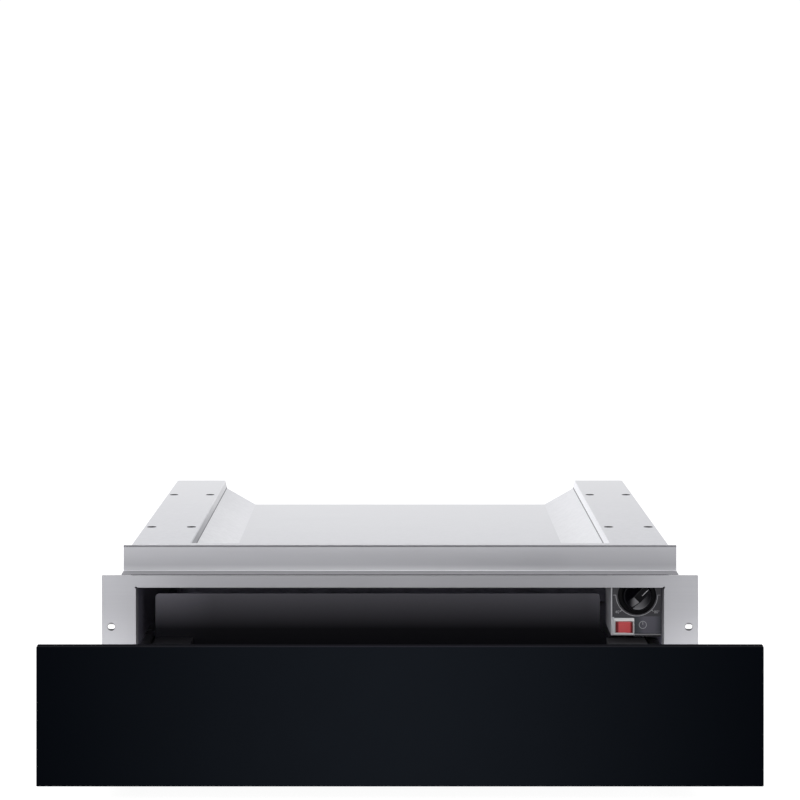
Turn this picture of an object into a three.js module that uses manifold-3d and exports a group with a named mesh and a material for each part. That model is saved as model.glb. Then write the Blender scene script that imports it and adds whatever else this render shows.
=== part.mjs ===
// A built-in warming drawer for a 600 mm cabinet, drawn with its drawer pulled out.
// Millimetres. X runs to the right, Y into the cabinet and Z up. The origin is on the shelf that
// the casing stands on, in the middle of the plane where the front flange meets the cabinet.

import * as THREE from "three";
import { mergeVertices } from "three/addons/utils/BufferGeometryUtils.js";
import Module from "manifold-3d";

const wasm = await Module();
wasm.setup();

// ---------------------------------------------------------------- driving dimensions

const SHEET = 1; // steel sheet of the casing, the liner and the drawer
const GAP = 0.3; // clearance between pieces that seat on each other
const RUNNING = 0.1; // radial clearance of a shaft in its hole
const ROUND = 24; // sides of a round hole or pin

// Front frame
const WINDOW_W = 524;
const WINDOW_TOP = 100.7;
const SILL_TOP = 7.5;
const FLANGE_LEG = 34; // width of the flange beside the window
const FLANGE_STRIP = 12.3; // height of the flange above the window
const FLANGE_CORNER = 1;
const RETURN_D = 20; // depth of the window's folded sides
const NOTCH_R = 1.1; // bend relief in the window's upper corners
const FIX_HOLE_W = 7.4;
const FIX_HOLE_H = 4.6;
const DIMPLE_R = 4; // round dimple about each fixing hole
const DIMPLE_T = 0.6;
const FIX_HOLE_INSET = 9.4; // from the flange's side edge
const FIX_HOLE_Z = 61.9;

// Ledge and upstand above the flange
const LEDGE_W = 553;
const LEDGE_D = 20; // from the flange's front face to the upstand

// Casing and top cover
const SIDE_SPACE = 3.2; // between the liner and the side panel
const CEILING_RISE = 2.3; // ceiling above the window's upper edge
const INSULATION_T = 5.4;
const INSULATION_W = 340;
const REAR_SPACE = 51; // behind the baffle, for the fan and the heater
const RECESS_DEPTH = 29;
const RAIL_W = 57.5;
const RAIL_STEP = 9.4;
const STEP_RUN = 2; // lean of the step beside each rail
const SLOPE_RUN = 34.5;
const STRIP_D = 12; // flat strip between the upstand and the recess
const LIP_H = 12; // side lips of the top cover
const FOOT_W = 7; // inward foot of a side panel
const RAIL_HOLE_R = 5;
const RAIL_HOLE_INSET = 7.4; // outer hole to the rail's outer edge
const RAIL_HOLE_PITCH_X = 41.8;
const RAIL_HOLE_FRONT_Y = 143.5;
const RAIL_HOLE_PITCH_Y = 255.5;

// Drawer
const TRAVEL = 415;
const DRAWER_D = 478.3; // from the front wall's face to the rear wall's back
const TRAY_Z = 9;
const DRAWER_LEDGE_Z = 40;
const DRAWER_LEDGE_W = 38.7;
const REAR_WALL_TOP = 84.7;
const REAR_WALL_CORNER = 4;
const FRONT_WALL_TOP = 100;
const MAT_T = 2.2;
const MAT_MARGIN = 2.5;
const GUSSET_D = 34;
const GUSSET_TOP = 92;
const GUSSET_FOOT = 9;
const BAFFLE_CLEAR = 3; // between the closed drawer and the baffle

// Front panel
const PANEL_OVERHANG = 1.5; // beyond the flange on each side
const PANEL_H = 114.5;
const PANEL_Z = 11;
const PANEL_T = 10;
const GLASS_T = 4;
const GLASS_CORNER = 0.8;
const PANEL_STANDOFF = 3.6; // between the closed panel and the flange
const BUFFER_R = 5;
const BUFFER_INSET_X = 14.5; // from the flange's side edge
const BUFFER_INSET_Z = 14;

// Telescopic slides
const SLIDE_T = 12.7;
const SLIDE_H = 30;
const SLIDE_SETBACK = 26.3; // behind the drawer's front wall
const SLIDE_END = 2; // in front of the drawer's back
const MEMBER_T = 1.2;
const BALL_R = 1.5;
const BALL_PLAY = 0.06;
const BALLS = 4; // balls in one row of a cage
const CAGE_T = 0.6;
const OUTER_LIP = 2.4; // from the drawer to the outer member's lips
const MIDDLE_LIP = 1.9; // and to the middle member's
const CAGE_SHARE = 0.88; // cage length as a share of the overlap of its two members

// Control box
const BOX_W = 50.3;
const BOX_RISE = 9.2; // above the drawer's ledge
const BOX_H = 71.8;
const BOX_D = 65;
const BOX_WALL = 1.2;
const FASCIA_Y = 21;
const FASCIA_T = 2;
const REAR_WALL_CLEAR = 8.1; // between the drawer's rear wall and the box

// Thermostat and its knob
const KNOB_R = 19;
const KNOB_X = 24.5; // from the box's right side
const KNOB_Z = 40.3; // from the box's underside
const KNOB_H = 17;
const KNOB_SKIRT = 3.2;
const KNOB_BODY_R = 14.5;
const GRIP_W = 8;
const KNOB_REST = 45; // degrees clockwise from the top
const SPINDLE_R = 3;
const NECK_R = 5;
const NUT_CLEAR = 0.5; // knob above the fascia
const THERMOSTAT_W = 34;
const THERMOSTAT_H = 30;
const THERMOSTAT_D = 26;
const CAPILLARY_R = 1;
const BULB_R = 3;
const BULB_L = 70;
const BULB_CLIP_T = 2;
const BULB_Z = 50;
const BULB_BEND = 25; // from the capillary's drop to the bulb's end

// Rocker switch
const BEZEL_W = 20;
const BEZEL_H = 16.2;
const BEZEL_LIFT = 0.8; // bezel's middle above the rocker's
const BEZEL_T = 2;
const BEZEL_CORNER = 1;
const ROCKER_X = 13.1; // from the box's left side
const ROCKER_Z = 8.7; // from the box's underside
const ROCKER_W = 16.6;
const ROCKER_H = 10.7;
const ROCKER_D = 9;
const ROCKER_PROUD = 1.6;
const ROCKER_PIVOT = 3; // behind the bezel's face
const ROCKER_TILT = 6; // degrees each side of level
const ROCKER_SWING = 0.9; // room beside the rocker in the bezel
const SWITCH_W = 18.4;
const SWITCH_H = 12.6;
const SWITCH_D = 24;

// Fan, heater and cut-out behind the baffle
const ROTOR_R = 18;
const ROTOR_L = 150;
const ROTOR_BLADES = 18;
const ROTOR_DISC_T = 1.5;
const BLADE_T = 0.8;
const BLADE_DEPTH = 5;
const SHAFT_R = 2;
const FAN_PLAY = 3; // rotor to housing
const FAN_Y = 26; // axis behind the baffle
const FAN_Z = 32;
const MOTOR_W = 34;
const MOTOR_SIZE = 40;
const HEATER_R = 3.25;
const HEATER_L = 330;
const HEATER_PITCH = 16;
const HEATER_Z = 76;
const HEATER_Y = 24; // behind the baffle
const BRACKET_SPAN = 220;
const BRACKET_W = 12;
const BRACKET_EDGE = 5; // of a heater bracket beyond the element
const MOTOR_NOTCH_R = 5; // round notches along the motor's four edges
const CUTOUT_R = 8;
const CUTOUT_T = 9;
const CUTOUT_X = -205;
const CUTOUT_Z = 62;
const SLOT_W = 3.5;
const SLOT_H = 24;
const SLOT_PITCH = 9;
const VENT_SLOTS = 8;

// Push latch
const LATCH_X = -140;
const LATCH_Z = 24;
const LATCH_SIZE = 16;
const LATCH_L = 42;
const PLUNGER_R = 4;
const PLUNGER_L = 27;
const PLUNGER_STROKE = 3.5;
const STRIKE_SIZE = 22;
const STRIKE_T = 1.5;
const STRIKE_CORNER = 2;

// Mains side
const INLET_X = 225;
const INLET_Z = 26;
const INLET_R = 9;
const INLET_BORE_R = 5;
const INLET_FLANGE = 3;
const TERMINAL_W = 34;
const TERMINAL_H = 18;
const TERMINAL_D = 18;
const TERMINAL_X = 178;
const TERMINAL_Z = 20;
const TERMINAL_BORE_R = 3;
const LOOM_R = 3;
const LOOM_DROP = 40; // last turn of the loom above the terminal block
const CABLE_BEND = 8;
const RISE_CLEAR = 14; // cables' rise in the control box, in front of its rear wall
const CLIP_W = 12;
const CLIP_REACH = 3; // of a loom clip beyond the loom
const CLIP_FIRST = 60; // from the control box to the first loom clip
const LOOM_DEPTH = 8; // loom's axis below the control box's top

// ---------------------------------------------------------------- derived places

const windowHalf = WINDOW_W / 2;
const flangeHalf = windowHalf + FLANGE_LEG;
const flangeTop = WINDOW_TOP + FLANGE_STRIP;
const panelHalf = flangeHalf + PANEL_OVERHANG;
const ledgeTop = flangeTop + GAP + SHEET;
const upstandY = LEDGE_D - SHEET; // rear face of the upstand
const linerHalf = windowHalf + SHEET;
const sideInner = linerHalf + SIDE_SPACE;
const sideOuter = sideInner + SHEET;
const casingHalf = sideOuter + GAP + SHEET;
const ceilingZ = WINDOW_TOP + CEILING_RISE;
const recessZ = ceilingZ + SHEET + GAP + INSULATION_T + GAP + SHEET;
const casingTop = recessZ + RECESS_DEPTH;
const railInner = casingHalf - RAIL_W;
const stepFoot = railInner - STEP_RUN;
const recessHalf = stepFoot - SLOPE_RUN;
const stripY = upstandY + GAP;
const bearingX = casingHalf + GAP; // from here out the flange bears on the cabinet
const recessY = stripY + STRIP_D;

const panelRear = -SHEET - PANEL_STANDOFF;
const panelFront = panelRear - PANEL_T;
const frontWallY = panelRear + GAP;
const drawerBack = frontWallY + DRAWER_D;
const rearWallY = drawerBack - SHEET;
const drawerHalf = windowHalf - SLIDE_T - 2 * GAP;
const wellHalf = drawerHalf - DRAWER_LEDGE_W;
const wellFloor = TRAY_Z + SHEET;
const baffleY = drawerBack + BAFFLE_CLEAR;
const bayY = baffleY + SHEET; // front of the space behind the baffle
const rearPanelY = bayY + REAR_SPACE;
const casingBack = rearPanelY + SHEET;

const slideY = frontWallY + SLIDE_SETBACK;
const slideLength = DRAWER_D - SLIDE_SETBACK - SLIDE_END;
const slideZ = (TRAY_Z + DRAWER_LEDGE_Z - SHEET) / 2;
const cageLength = (slideLength - TRAVEL / 2) * CAGE_SHARE;
const ballRow = 2 * (BALL_R + BALL_PLAY); // room between two members' flanges

const boxRight = windowHalf - GAP;
const boxLeft = boxRight - BOX_W;
const boxBottom = DRAWER_LEDGE_Z + BOX_RISE;
const boxTop = boxBottom + BOX_H;
const boxBack = FASCIA_Y + BOX_D;
const wallRight = boxLeft - REAR_WALL_CLEAR;
const knobX = boxRight - KNOB_X;
const knobZ = boxBottom + KNOB_Z;
const rockerX = boxLeft + ROCKER_X;
const rockerZ = boxBottom + ROCKER_Z;
const thermostatY = FASCIA_Y + FASCIA_T + GAP;

const fanY = bayY + FAN_Y;
const housingR = ROTOR_R + FAN_PLAY;
const housingHalf = ROTOR_L / 2 + FAN_PLAY;
const heaterY = bayY + HEATER_Y;
const motorX = housingHalf + SHEET + GAP;
const closedStrike = drawerBack + GAP + STRIKE_T;
const plungerY = closedStrike + GAP;
const latchY = bayY + GAP;
const loomZ = boxTop - LOOM_DEPTH;

// ---------------------------------------------------------------- finishes

function finish(color, roughness, metalness) {
  return { color, roughness, metalness };
}

const GALVANISED = finish(0xc9cacd, 0.45, 0.85);
const STAINLESS = finish(0xa9a9ae, 0.35, 1);
const DARK_ENAMEL = finish(0x232428, 0.4, 0.2);
const DRAWER_GREY = finish(0x33343a, 0.45, 0.5);
const BLACK_GLASS = finish(0x0b0e12, 0.06, 0);
const BLACK_STEEL = finish(0x17181b, 0.5, 0.3);
const BLACK_PLASTIC = finish(0x141416, 0.4, 0);
const FASCIA_GREY = finish(0x323236, 0.55, 0);
const BOX_GREY = finish(0x77777c, 0.5, 0.4);
const PALE_PLASTIC = finish(0xb9b9bd, 0.45, 0);
const RED_LENS = finish(0xa5464a, 0.3, 0);
const RUBBER = finish(0x1d1d1f, 0.9, 0);
const CERAMIC_FELT = finish(0xd8d6cf, 0.95, 0);
const BRIGHT_STEEL = finish(0xb8babd, 0.25, 1);
const COPPER = finish(0xb87d5b, 0.35, 1);
const HEATER_SHEATH = finish(0x55585c, 0.5, 0.9);
const PHENOLIC = finish(0x2b2522, 0.6, 0);
const LOOM_SLEEVE = finish(0x8c8f93, 0.8, 0);

// ---------------------------------------------------------------- helpers

const UP = new THREE.Vector3(0, 0, 1);
const RIGHT = new THREE.Vector3(1, 0, 0);
const INWARD = new THREE.Vector3(0, 1, 0);

function solidOf(geometry) {
  const bare = (geometry.index ? geometry.toNonIndexed() : geometry.clone());
  bare.deleteAttribute("normal");
  bare.deleteAttribute("uv");
  const merged = mergeVertices(bare, 1e-4);
  return new wasm.Manifold(
    new wasm.Mesh({
      numProp: 3,
      vertProperties: merged.attributes.position.array,
      triVerts: new Uint32Array(merged.index.array),
    }),
  );
}

function geometryOf(solid) {
  const mesh = solid.getMesh();
  const geometry = new THREE.BufferGeometry();
  geometry.setAttribute("position", new THREE.BufferAttribute(new Float32Array(mesh.vertProperties), 3));
  geometry.setIndex(new THREE.BufferAttribute(new Uint32Array(mesh.triVerts), 1));
  return geometry;
}

function join(...geometries) {
  return geometryOf(geometries.map(solidOf).reduce((whole, next) => whole.add(next)));
}

function cut(geometry, ...tools) {
  return geometryOf(tools.map(solidOf).reduce((whole, tool) => whole.subtract(tool), solidOf(geometry)));
}

// A block between two corners.
function block(x0, x1, y0, y1, z0, z1) {
  return new THREE.BoxGeometry(x1 - x0, y1 - y0, z1 - z0).translate(
    (x0 + x1) / 2,
    (y0 + y1) / 2,
    (z0 + z1) / 2,
  );
}

// A round bar along a unit axis, from a start point.
function rod(radius, length, axis, start = [0, 0, 0], sides = ROUND) {
  const turn = new THREE.Quaternion().setFromUnitVectors(new THREE.Vector3(0, 1, 0), axis);
  return new THREE.CylinderGeometry(radius, radius, length, sides)
    .translate(0, length / 2, 0)
    .applyQuaternion(turn)
    .translate(...start);
}

// An outline of X and Z points, run along Y.
function alongY(shape, y0, y1, segments = ROUND / 4) {
  const geometry = new THREE.ExtrudeGeometry(shape, {
    depth: y1 - y0,
    bevelEnabled: false,
    curveSegments: segments,
  });
  const basis = new THREE.Matrix4().makeBasis(RIGHT, UP, new THREE.Vector3(0, -1, 0));
  return geometry.applyMatrix4(basis).translate(0, y1, 0);
}

// An outline of Y and Z points, run along X.
function alongX(shape, x0, x1, segments = ROUND / 4) {
  const geometry = new THREE.ExtrudeGeometry(shape, {
    depth: x1 - x0,
    bevelEnabled: false,
    curveSegments: segments,
  });
  return geometry.applyMatrix4(new THREE.Matrix4().makeBasis(INWARD, UP, RIGHT)).translate(x0, 0, 0);
}

// An outline of X and Y points, run along Z.
function alongZ(shape, z0, z1, segments = ROUND / 4) {
  return new THREE.ExtrudeGeometry(shape, {
    depth: z1 - z0,
    bevelEnabled: false,
    curveSegments: segments,
  }).translate(0, 0, z0);
}

// A closed outline, always anticlockwise, so that holes can be added to it.
function polygon(points) {
  const corners = points.map(([u, v]) => new THREE.Vector2(u, v));
  return new THREE.Shape(THREE.ShapeUtils.isClockWise(corners) ? corners.reverse() : corners);
}

// The points of an open line moved to its right by a distance, with mitred corners.
function offsetLine(line, distance) {
  const normals = line.slice(1).map(([u, v], i) => {
    const run = Math.hypot(u - line[i][0], v - line[i][1]);
    return [(v - line[i][1]) / run, -(u - line[i][0]) / run];
  });
  return line.map(([u, v], i) => {
    const before = normals[Math.max(i - 1, 0)];
    const after = normals[Math.min(i, normals.length - 1)];
    const scale = distance / (1 + before[0] * after[0] + before[1] * after[1]);
    return [u + (before[0] + after[0]) * scale, v + (before[1] + after[1]) * scale];
  });
}

// A bent sheet's section: its outer line, thickened to the right of its direction.
function bentSheet(line, thickness = SHEET) {
  return polygon([...line, ...offsetLine(line, thickness).reverse()]);
}

function roundHole(u, v, radius) {
  return new THREE.Path().absarc(u, v, radius, 0, 2 * Math.PI, true);
}

function rectHole(u0, u1, v0, v1) {
  return new THREE.Path([
    new THREE.Vector2(u0, v0),
    new THREE.Vector2(u0, v1),
    new THREE.Vector2(u1, v1),
    new THREE.Vector2(u1, v0),
  ]);
}

// A rectangle with all corners rounded alike.
function roundedRect(u0, u1, v0, v1, r) {
  const shape = new THREE.Shape();
  shape.moveTo(u0 + r, v0);
  shape.lineTo(u1 - r, v0);
  shape.absarc(u1 - r, v0 + r, r, -Math.PI / 2, 0);
  shape.lineTo(u1, v1 - r);
  shape.absarc(u1 - r, v1 - r, r, 0, Math.PI / 2);
  shape.lineTo(u0 + r, v1);
  shape.absarc(u0 + r, v1 - r, r, Math.PI / 2, Math.PI);
  shape.lineTo(u0, v0 + r);
  shape.absarc(u0 + r, v0 + r, r, Math.PI, 1.5 * Math.PI);
  return shape;
}

// Corner points joined by straight runs, with an arc of a given radius at each bend.
function roundedRoute(corners, radius, steps = 4) {
  const points = corners.map((corner) => new THREE.Vector3(...corner));
  const route = [points[0]];
  for (let i = 1; i < points.length - 1; i += 1) {
    const before = points[i - 1].clone().sub(points[i]).normalize();
    const after = points[i + 1].clone().sub(points[i]).normalize();
    const halfAngle = before.angleTo(after) / 2;
    const centre = points[i].clone().addScaledVector(
      before.clone().add(after).normalize(),
      radius / Math.sin(halfAngle),
    );
    const from = points[i].clone().addScaledVector(before, radius / Math.tan(halfAngle)).sub(centre);
    const to = points[i].clone().addScaledVector(after, radius / Math.tan(halfAngle)).sub(centre);
    const axis = new THREE.Vector3().crossVectors(from, to).normalize();
    for (let step = 0; step <= steps; step += 1) {
      const turn = (from.angleTo(to) * step) / steps;
      route.push(from.clone().applyAxisAngle(axis, turn).add(centre));
    }
  }
  route.push(points[points.length - 1]);
  return route;
}

// A closed tube along a route of points, each ring turned as little as the route allows.
function sweep(route, radius, sides = 8) {
  const run = (i) => route[Math.min(i + 1, route.length - 1)].clone().sub(route[Math.max(i - 1, 0)]);
  const frame = new THREE.Quaternion().setFromUnitVectors(UP, run(0).normalize());
  const vertices = [];
  let heading = run(0).normalize();
  route.forEach((point, i) => {
    const next = run(i).normalize();
    frame.premultiply(new THREE.Quaternion().setFromUnitVectors(heading, next));
    heading = next;
    for (let side = 0; side < sides; side += 1) {
      const angle = (side * 2 * Math.PI) / sides;
      const spoke = new THREE.Vector3(radius * Math.cos(angle), radius * Math.sin(angle), 0);
      vertices.push(...spoke.applyQuaternion(frame).add(point).toArray());
    }
  });
  const faces = [];
  const last = (route.length - 1) * sides;
  for (let ring = 0; ring < last; ring += sides) {
    for (let side = 0; side < sides; side += 1) {
      const a = ring + side;
      const b = ring + ((side + 1) % sides);
      faces.push(a, b, a + sides, b, b + sides, a + sides);
    }
  }
  for (let side = 1; side < sides - 1; side += 1) {
    faces.push(0, side + 1, side, last, last + side, last + side + 1);
  }
  const geometry = new THREE.BufferGeometry();
  geometry.setAttribute("position", new THREE.Float32BufferAttribute(vertices, 3));
  geometry.setIndex(faces);
  return geometry;
}

function piece(group, name, geometry, look) {
  const mesh = new THREE.Mesh(geometry, new THREE.MeshStandardMaterial(look));
  mesh.name = name;
  group.add(mesh);
  return mesh;
}

const SIDES = [
  { word: "left", sign: -1 },
  { word: "right", sign: 1 },
];

// ---------------------------------------------------------------- casing

// The upper face of the top cover from lip to lip: rail, step, slope, recess and back up.
const coverLine = [
  [-casingHalf, casingTop - LIP_H],
  [-casingHalf, casingTop],
  [-railInner, casingTop],
  [-stepFoot, casingTop - RAIL_STEP],
  [-recessHalf, recessZ],
  [recessHalf, recessZ],
  [stepFoot, casingTop - RAIL_STEP],
  [railInner, casingTop],
  [casingHalf, casingTop],
  [casingHalf, casingTop - LIP_H],
];

// A row of upright slots through a sheet that faces along Y.
function slotRow(middle, count, z, y) {
  return Array.from({ length: count }, (_, slot) => {
    const x = middle + (slot - (count - 1) / 2) * SLOT_PITCH - SLOT_W / 2;
    return block(x, x + SLOT_W, y - SHEET, y + 2 * SHEET, z, z + SLOT_H);
  });
}

function basePlate() {
  return block(-casingHalf, casingHalf, -SHEET, casingBack, 0, SHEET);
}

function sidePanel(sign) {
  const low = SHEET + GAP;
  const high = casingTop - SHEET - GAP;
  const section = [
    [sign * sideOuter, high],
    [sign * sideOuter, low],
    [sign * (sideInner - FOOT_W), low],
    [sign * (sideInner - FOOT_W), low + SHEET],
    [sign * sideInner, low + SHEET],
    [sign * sideInner, high],
  ];
  const x = [sign * (sideInner - 1), sign * (sideOuter + 1)].sort((a, b) => a - b);
  const notch = block(x[0], x[1], GAP - 1, stripY, flangeTop, casingTop);
  return cut(alongY(polygon(section), GAP, rearPanelY - GAP), notch);
}

function rearPanel() {
  const under = offsetLine(coverLine, SHEET + GAP).slice(1, -1);
  const low = SHEET + GAP;
  const outline = polygon([[-sideOuter, low], ...under.map(([x, z], i) => {
    const edge = i === 0 || i === under.length - 1;
    return [edge ? Math.sign(x) * sideOuter : x, z];
  }), [sideOuter, low]]);
  const inlet = rod(INLET_R + GAP, 4 * SHEET, INWARD, [INLET_X, rearPanelY - SHEET, INLET_Z]);
  const vents = slotRow(motorX + MOTOR_W / 2, VENT_SLOTS, FAN_Z - SLOT_H / 2, rearPanelY);
  return cut(alongY(outline, rearPanelY, casingBack), inlet, ...vents);
}

function topCover() {
  const strip = block(-casingHalf, casingHalf, stripY, recessY, casingTop - SHEET, casingTop);
  const inner = railInner + SHEET / 2;
  const innerFoot = stepFoot + SHEET / 2;
  const wall = alongY(polygon([
    [-inner, casingTop],
    [-innerFoot, casingTop - RAIL_STEP],
    [-recessHalf, recessZ - SHEET / 2],
    [recessHalf, recessZ - SHEET / 2],
    [innerFoot, casingTop - RAIL_STEP],
    [inner, casingTop],
  ]), recessY - SHEET, recessY);
  const holes = [];
  for (const { sign } of SIDES) {
    for (const column of [0, 1]) {
      for (const row of [0, 1]) {
        const x = sign * (casingHalf - RAIL_HOLE_INSET - column * RAIL_HOLE_PITCH_X);
        const y = RAIL_HOLE_FRONT_Y + row * RAIL_HOLE_PITCH_Y;
        holes.push(rod(RAIL_HOLE_R, 4 * SHEET, UP, [x, y, casingTop - 2 * SHEET]));
      }
    }
  }
  return cut(join(alongY(bentSheet(coverLine), recessY - SHEET, casingBack), strip, wall), ...holes);
}

// The flange's legs are plates of their own, so that the faces that bear on the cabinet are theirs.
function frontFrame() {
  const low = SHEET + GAP;
  const middle = polygon([
    [-bearingX, low],
    [bearingX, low],
    [bearingX, flangeTop],
    [-bearingX, flangeTop],
  ]);
  middle.holes.push(rectHole(-windowHalf, windowHalf, SILL_TOP, WINDOW_TOP));
  const legs = SIDES.map(({ sign }) => {
    const x = [sign * (bearingX - SHEET), sign * flangeHalf].sort((a, b) => a - b);
    return alongY(roundedRect(x[0], x[1], low, flangeTop, FLANGE_CORNER), -SHEET, 0);
  });
  const returns = SIDES.map(({ sign }) => {
    const x = [sign * windowHalf, sign * linerHalf].sort((a, b) => a - b);
    return block(x[0], x[1], -SHEET / 2, RETURN_D, SILL_TOP + SHEET, WINDOW_TOP - NOTCH_R);
  });
  const reliefs = SIDES.map(({ sign }) =>
    rod(NOTCH_R, 4 * SHEET, INWARD, [sign * windowHalf, -2 * SHEET, WINDOW_TOP], ROUND / 2),
  );
  const fixings = SIDES.flatMap(({ sign }) => {
    const x = sign * (flangeHalf - FIX_HOLE_INSET);
    const slot = roundedRect(x - FIX_HOLE_W / 2, x + FIX_HOLE_W / 2, FIX_HOLE_Z - FIX_HOLE_H / 2,
      FIX_HOLE_Z + FIX_HOLE_H / 2, FIX_HOLE_H / 2 - GAP / 4);
    const dimple = new THREE.CylinderGeometry(DIMPLE_R - DIMPLE_T, DIMPLE_R + DIMPLE_T, 2 * DIMPLE_T, ROUND)
      .translate(x, -SHEET, FIX_HOLE_Z);
    return [alongY(slot, -2 * SHEET, SHEET), dimple];
  });
  return cut(join(alongY(middle, -SHEET, 0), ...legs, ...returns), ...reliefs, ...fixings);
}

function ledgeStrip() {
  const line = [
    [-SHEET, ledgeTop],
    [upstandY - SHEET, ledgeTop],
    [upstandY - SHEET, casingTop],
  ];
  return alongX(bentSheet(line), -LEDGE_W / 2, LEDGE_W / 2);
}

function linerSide(sign) {
  const x = [sign * windowHalf, sign * linerHalf].sort((a, b) => a - b);
  const low = SHEET + GAP + SHEET + GAP;
  return block(x[0], x[1], RETURN_D + GAP, baffleY - GAP, low, ceilingZ - GAP);
}

// The ceiling leaves the front right corner open for the control box.
function linerCeiling() {
  const notchX = boxLeft - 2 * GAP;
  const notchY = boxBack + 2 * GAP;
  const outline = polygon([
    [-linerHalf, GAP],
    [notchX, GAP],
    [notchX, notchY],
    [linerHalf, notchY],
    [linerHalf, bayY],
    [-linerHalf, bayY],
  ]);
  return alongZ(outline, ceilingZ, ceilingZ + SHEET);
}

function rearBaffle() {
  const low = 2 * SHEET + 2 * GAP;
  const plate = block(-linerHalf, linerHalf, baffleY, bayY, low, ceilingZ - GAP);
  const slots = Math.floor((ROTOR_L - SLOT_W) / SLOT_PITCH) + 1;
  const intake = slotRow(0, slots, FAN_Z - SLOT_H / 2, baffleY);
  const outlet = slotRow(0, slots, HEATER_Z - SLOT_H / 2, baffleY);
  const latch = rod(PLUNGER_R + GAP, 4 * SHEET, INWARD, [LATCH_X, baffleY - SHEET, LATCH_Z]);
  return cut(plate, ...intake, ...outlet, latch);
}

function insulationMat() {
  const low = ceilingZ + SHEET + GAP;
  return block(-INSULATION_W / 2, INSULATION_W / 2, recessY, bayY, low, low + INSULATION_T);
}

function buildCasing() {
  const casing = new THREE.Group();
  piece(casing, "base_plate", basePlate(), GALVANISED);
  for (const { word, sign } of SIDES) {
    piece(casing, `side_panel_${word}`, sidePanel(sign), GALVANISED);
    piece(casing, `liner_${word}`, linerSide(sign), DARK_ENAMEL);
  }
  piece(casing, "rear_panel", rearPanel(), GALVANISED);
  piece(casing, "top_cover", topCover(), GALVANISED);
  piece(casing, "front_frame", frontFrame(), STAINLESS);
  piece(casing, "ledge_strip", ledgeStrip(), STAINLESS);
  piece(casing, "liner_ceiling", linerCeiling(), DARK_ENAMEL);
  piece(casing, "rear_baffle", rearBaffle(), DARK_ENAMEL);
  piece(casing, "insulation_mat", insulationMat(), CERAMIC_FELT);
  return casing;
}

// ---------------------------------------------------------------- slides

// Half heights of the three nested channels, from the outer one in.
const outerHalf = SLIDE_H / 2;
const middleHalf = outerHalf - MEMBER_T - ballRow;
const innerHalf = middleHalf - MEMBER_T - ballRow;

// How far each channel's web and lips stand from the drawer's side of the slide.
const outerWeb = SLIDE_T;
const cageWeb = outerWeb - MEMBER_T - BALL_PLAY;
const middleWeb = cageWeb - CAGE_T - BALL_PLAY;
const innerLip = middleWeb - MEMBER_T - CAGE_T - 3 * BALL_PLAY;

// A channel with its web at one distance from the drawer and its lips reaching to another.
function channel(sign, half, web, lip, thickness, length) {
  const at = (u) => sign * (drawerHalf + GAP + u);
  const line = [
    [at(lip), slideZ - half],
    [at(web), slideZ - half],
    [at(web), slideZ + half],
    [at(lip), slideZ + half],
  ];
  const inside = lip < web === sign > 0 ? -thickness : thickness;
  return alongY(bentSheet(line, inside), 0, length);
}

// A ball cage: a thin channel whose two legs hold a row of balls each.
function ballCage(sign, row, web, lip, ballU) {
  const strip = channel(sign, row + CAGE_T / 2, web, lip, CAGE_T, cageLength);
  const balls = [];
  for (let ball = 0; ball < BALLS; ball += 1) {
    const y = (cageLength * (ball + 0.5)) / BALLS;
    for (const level of [-row, row]) {
      const x = sign * (drawerHalf + GAP + ballU);
      balls.push(new THREE.SphereGeometry(BALL_R, 8, 4).translate(x, y, slideZ + level));
    }
  }
  return join(strip, ...balls);
}

function buildSlides() {
  const slides = new THREE.Group();
  const outerRow = outerHalf - MEMBER_T - ballRow / 2;
  const innerRow = middleHalf - MEMBER_T - ballRow / 2;
  const cageEnd = (slideLength - TRAVEL / 2 - cageLength) / 2;
  for (const { word, sign } of SIDES) {
    const outer = channel(sign, outerHalf, outerWeb, OUTER_LIP, MEMBER_T, slideLength);
    piece(slides, `slide_outer_${word}`, outer, BRIGHT_STEEL).position.y = slideY;

    const middle = channel(sign, middleHalf, middleWeb, MIDDLE_LIP, MEMBER_T, slideLength);
    piece(slides, `slide_middle_${word}`, middle, BRIGHT_STEEL).position.y = slideY - TRAVEL / 2;

    const inner = channel(sign, innerHalf, 0, innerLip, MEMBER_T, slideLength);
    piece(slides, `slide_inner_${word}`, inner, BRIGHT_STEEL).position.y = slideY - TRAVEL;

    const ballU = (OUTER_LIP + middleWeb) / 2;
    const outerCage = ballCage(sign, outerRow, cageWeb, ballU - BALL_R, ballU);
    piece(slides, `ball_cage_outer_${word}`, outerCage, BRIGHT_STEEL).position.y = slideY + cageEnd;

    const innerBallU = (MIDDLE_LIP + innerLip) / 2;
    const innerWeb = middleWeb - MEMBER_T - BALL_PLAY;
    const innerCage = ballCage(sign, innerRow, innerWeb, innerBallU - BALL_R, innerBallU);
    piece(slides, `ball_cage_inner_${word}`, innerCage, BRIGHT_STEEL).position.y =
      slideY - TRAVEL / 2 + cageEnd;
  }
  return slides;
}

// ---------------------------------------------------------------- drawer

// One pressed sheet: a side wall, a ledge and the well's wall, floor and wall, ledge and side wall.
function drawerTray() {
  const line = [
    [-drawerHalf, TRAY_Z],
    [-drawerHalf, DRAWER_LEDGE_Z],
    [-wellHalf, DRAWER_LEDGE_Z],
    [-wellHalf, wellFloor],
    [wellHalf, wellFloor],
    [wellHalf, DRAWER_LEDGE_Z],
    [drawerHalf, DRAWER_LEDGE_Z],
    [drawerHalf, TRAY_Z],
  ];
  return alongY(bentSheet(line), frontWallY + SHEET + GAP, rearWallY - GAP);
}

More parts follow.
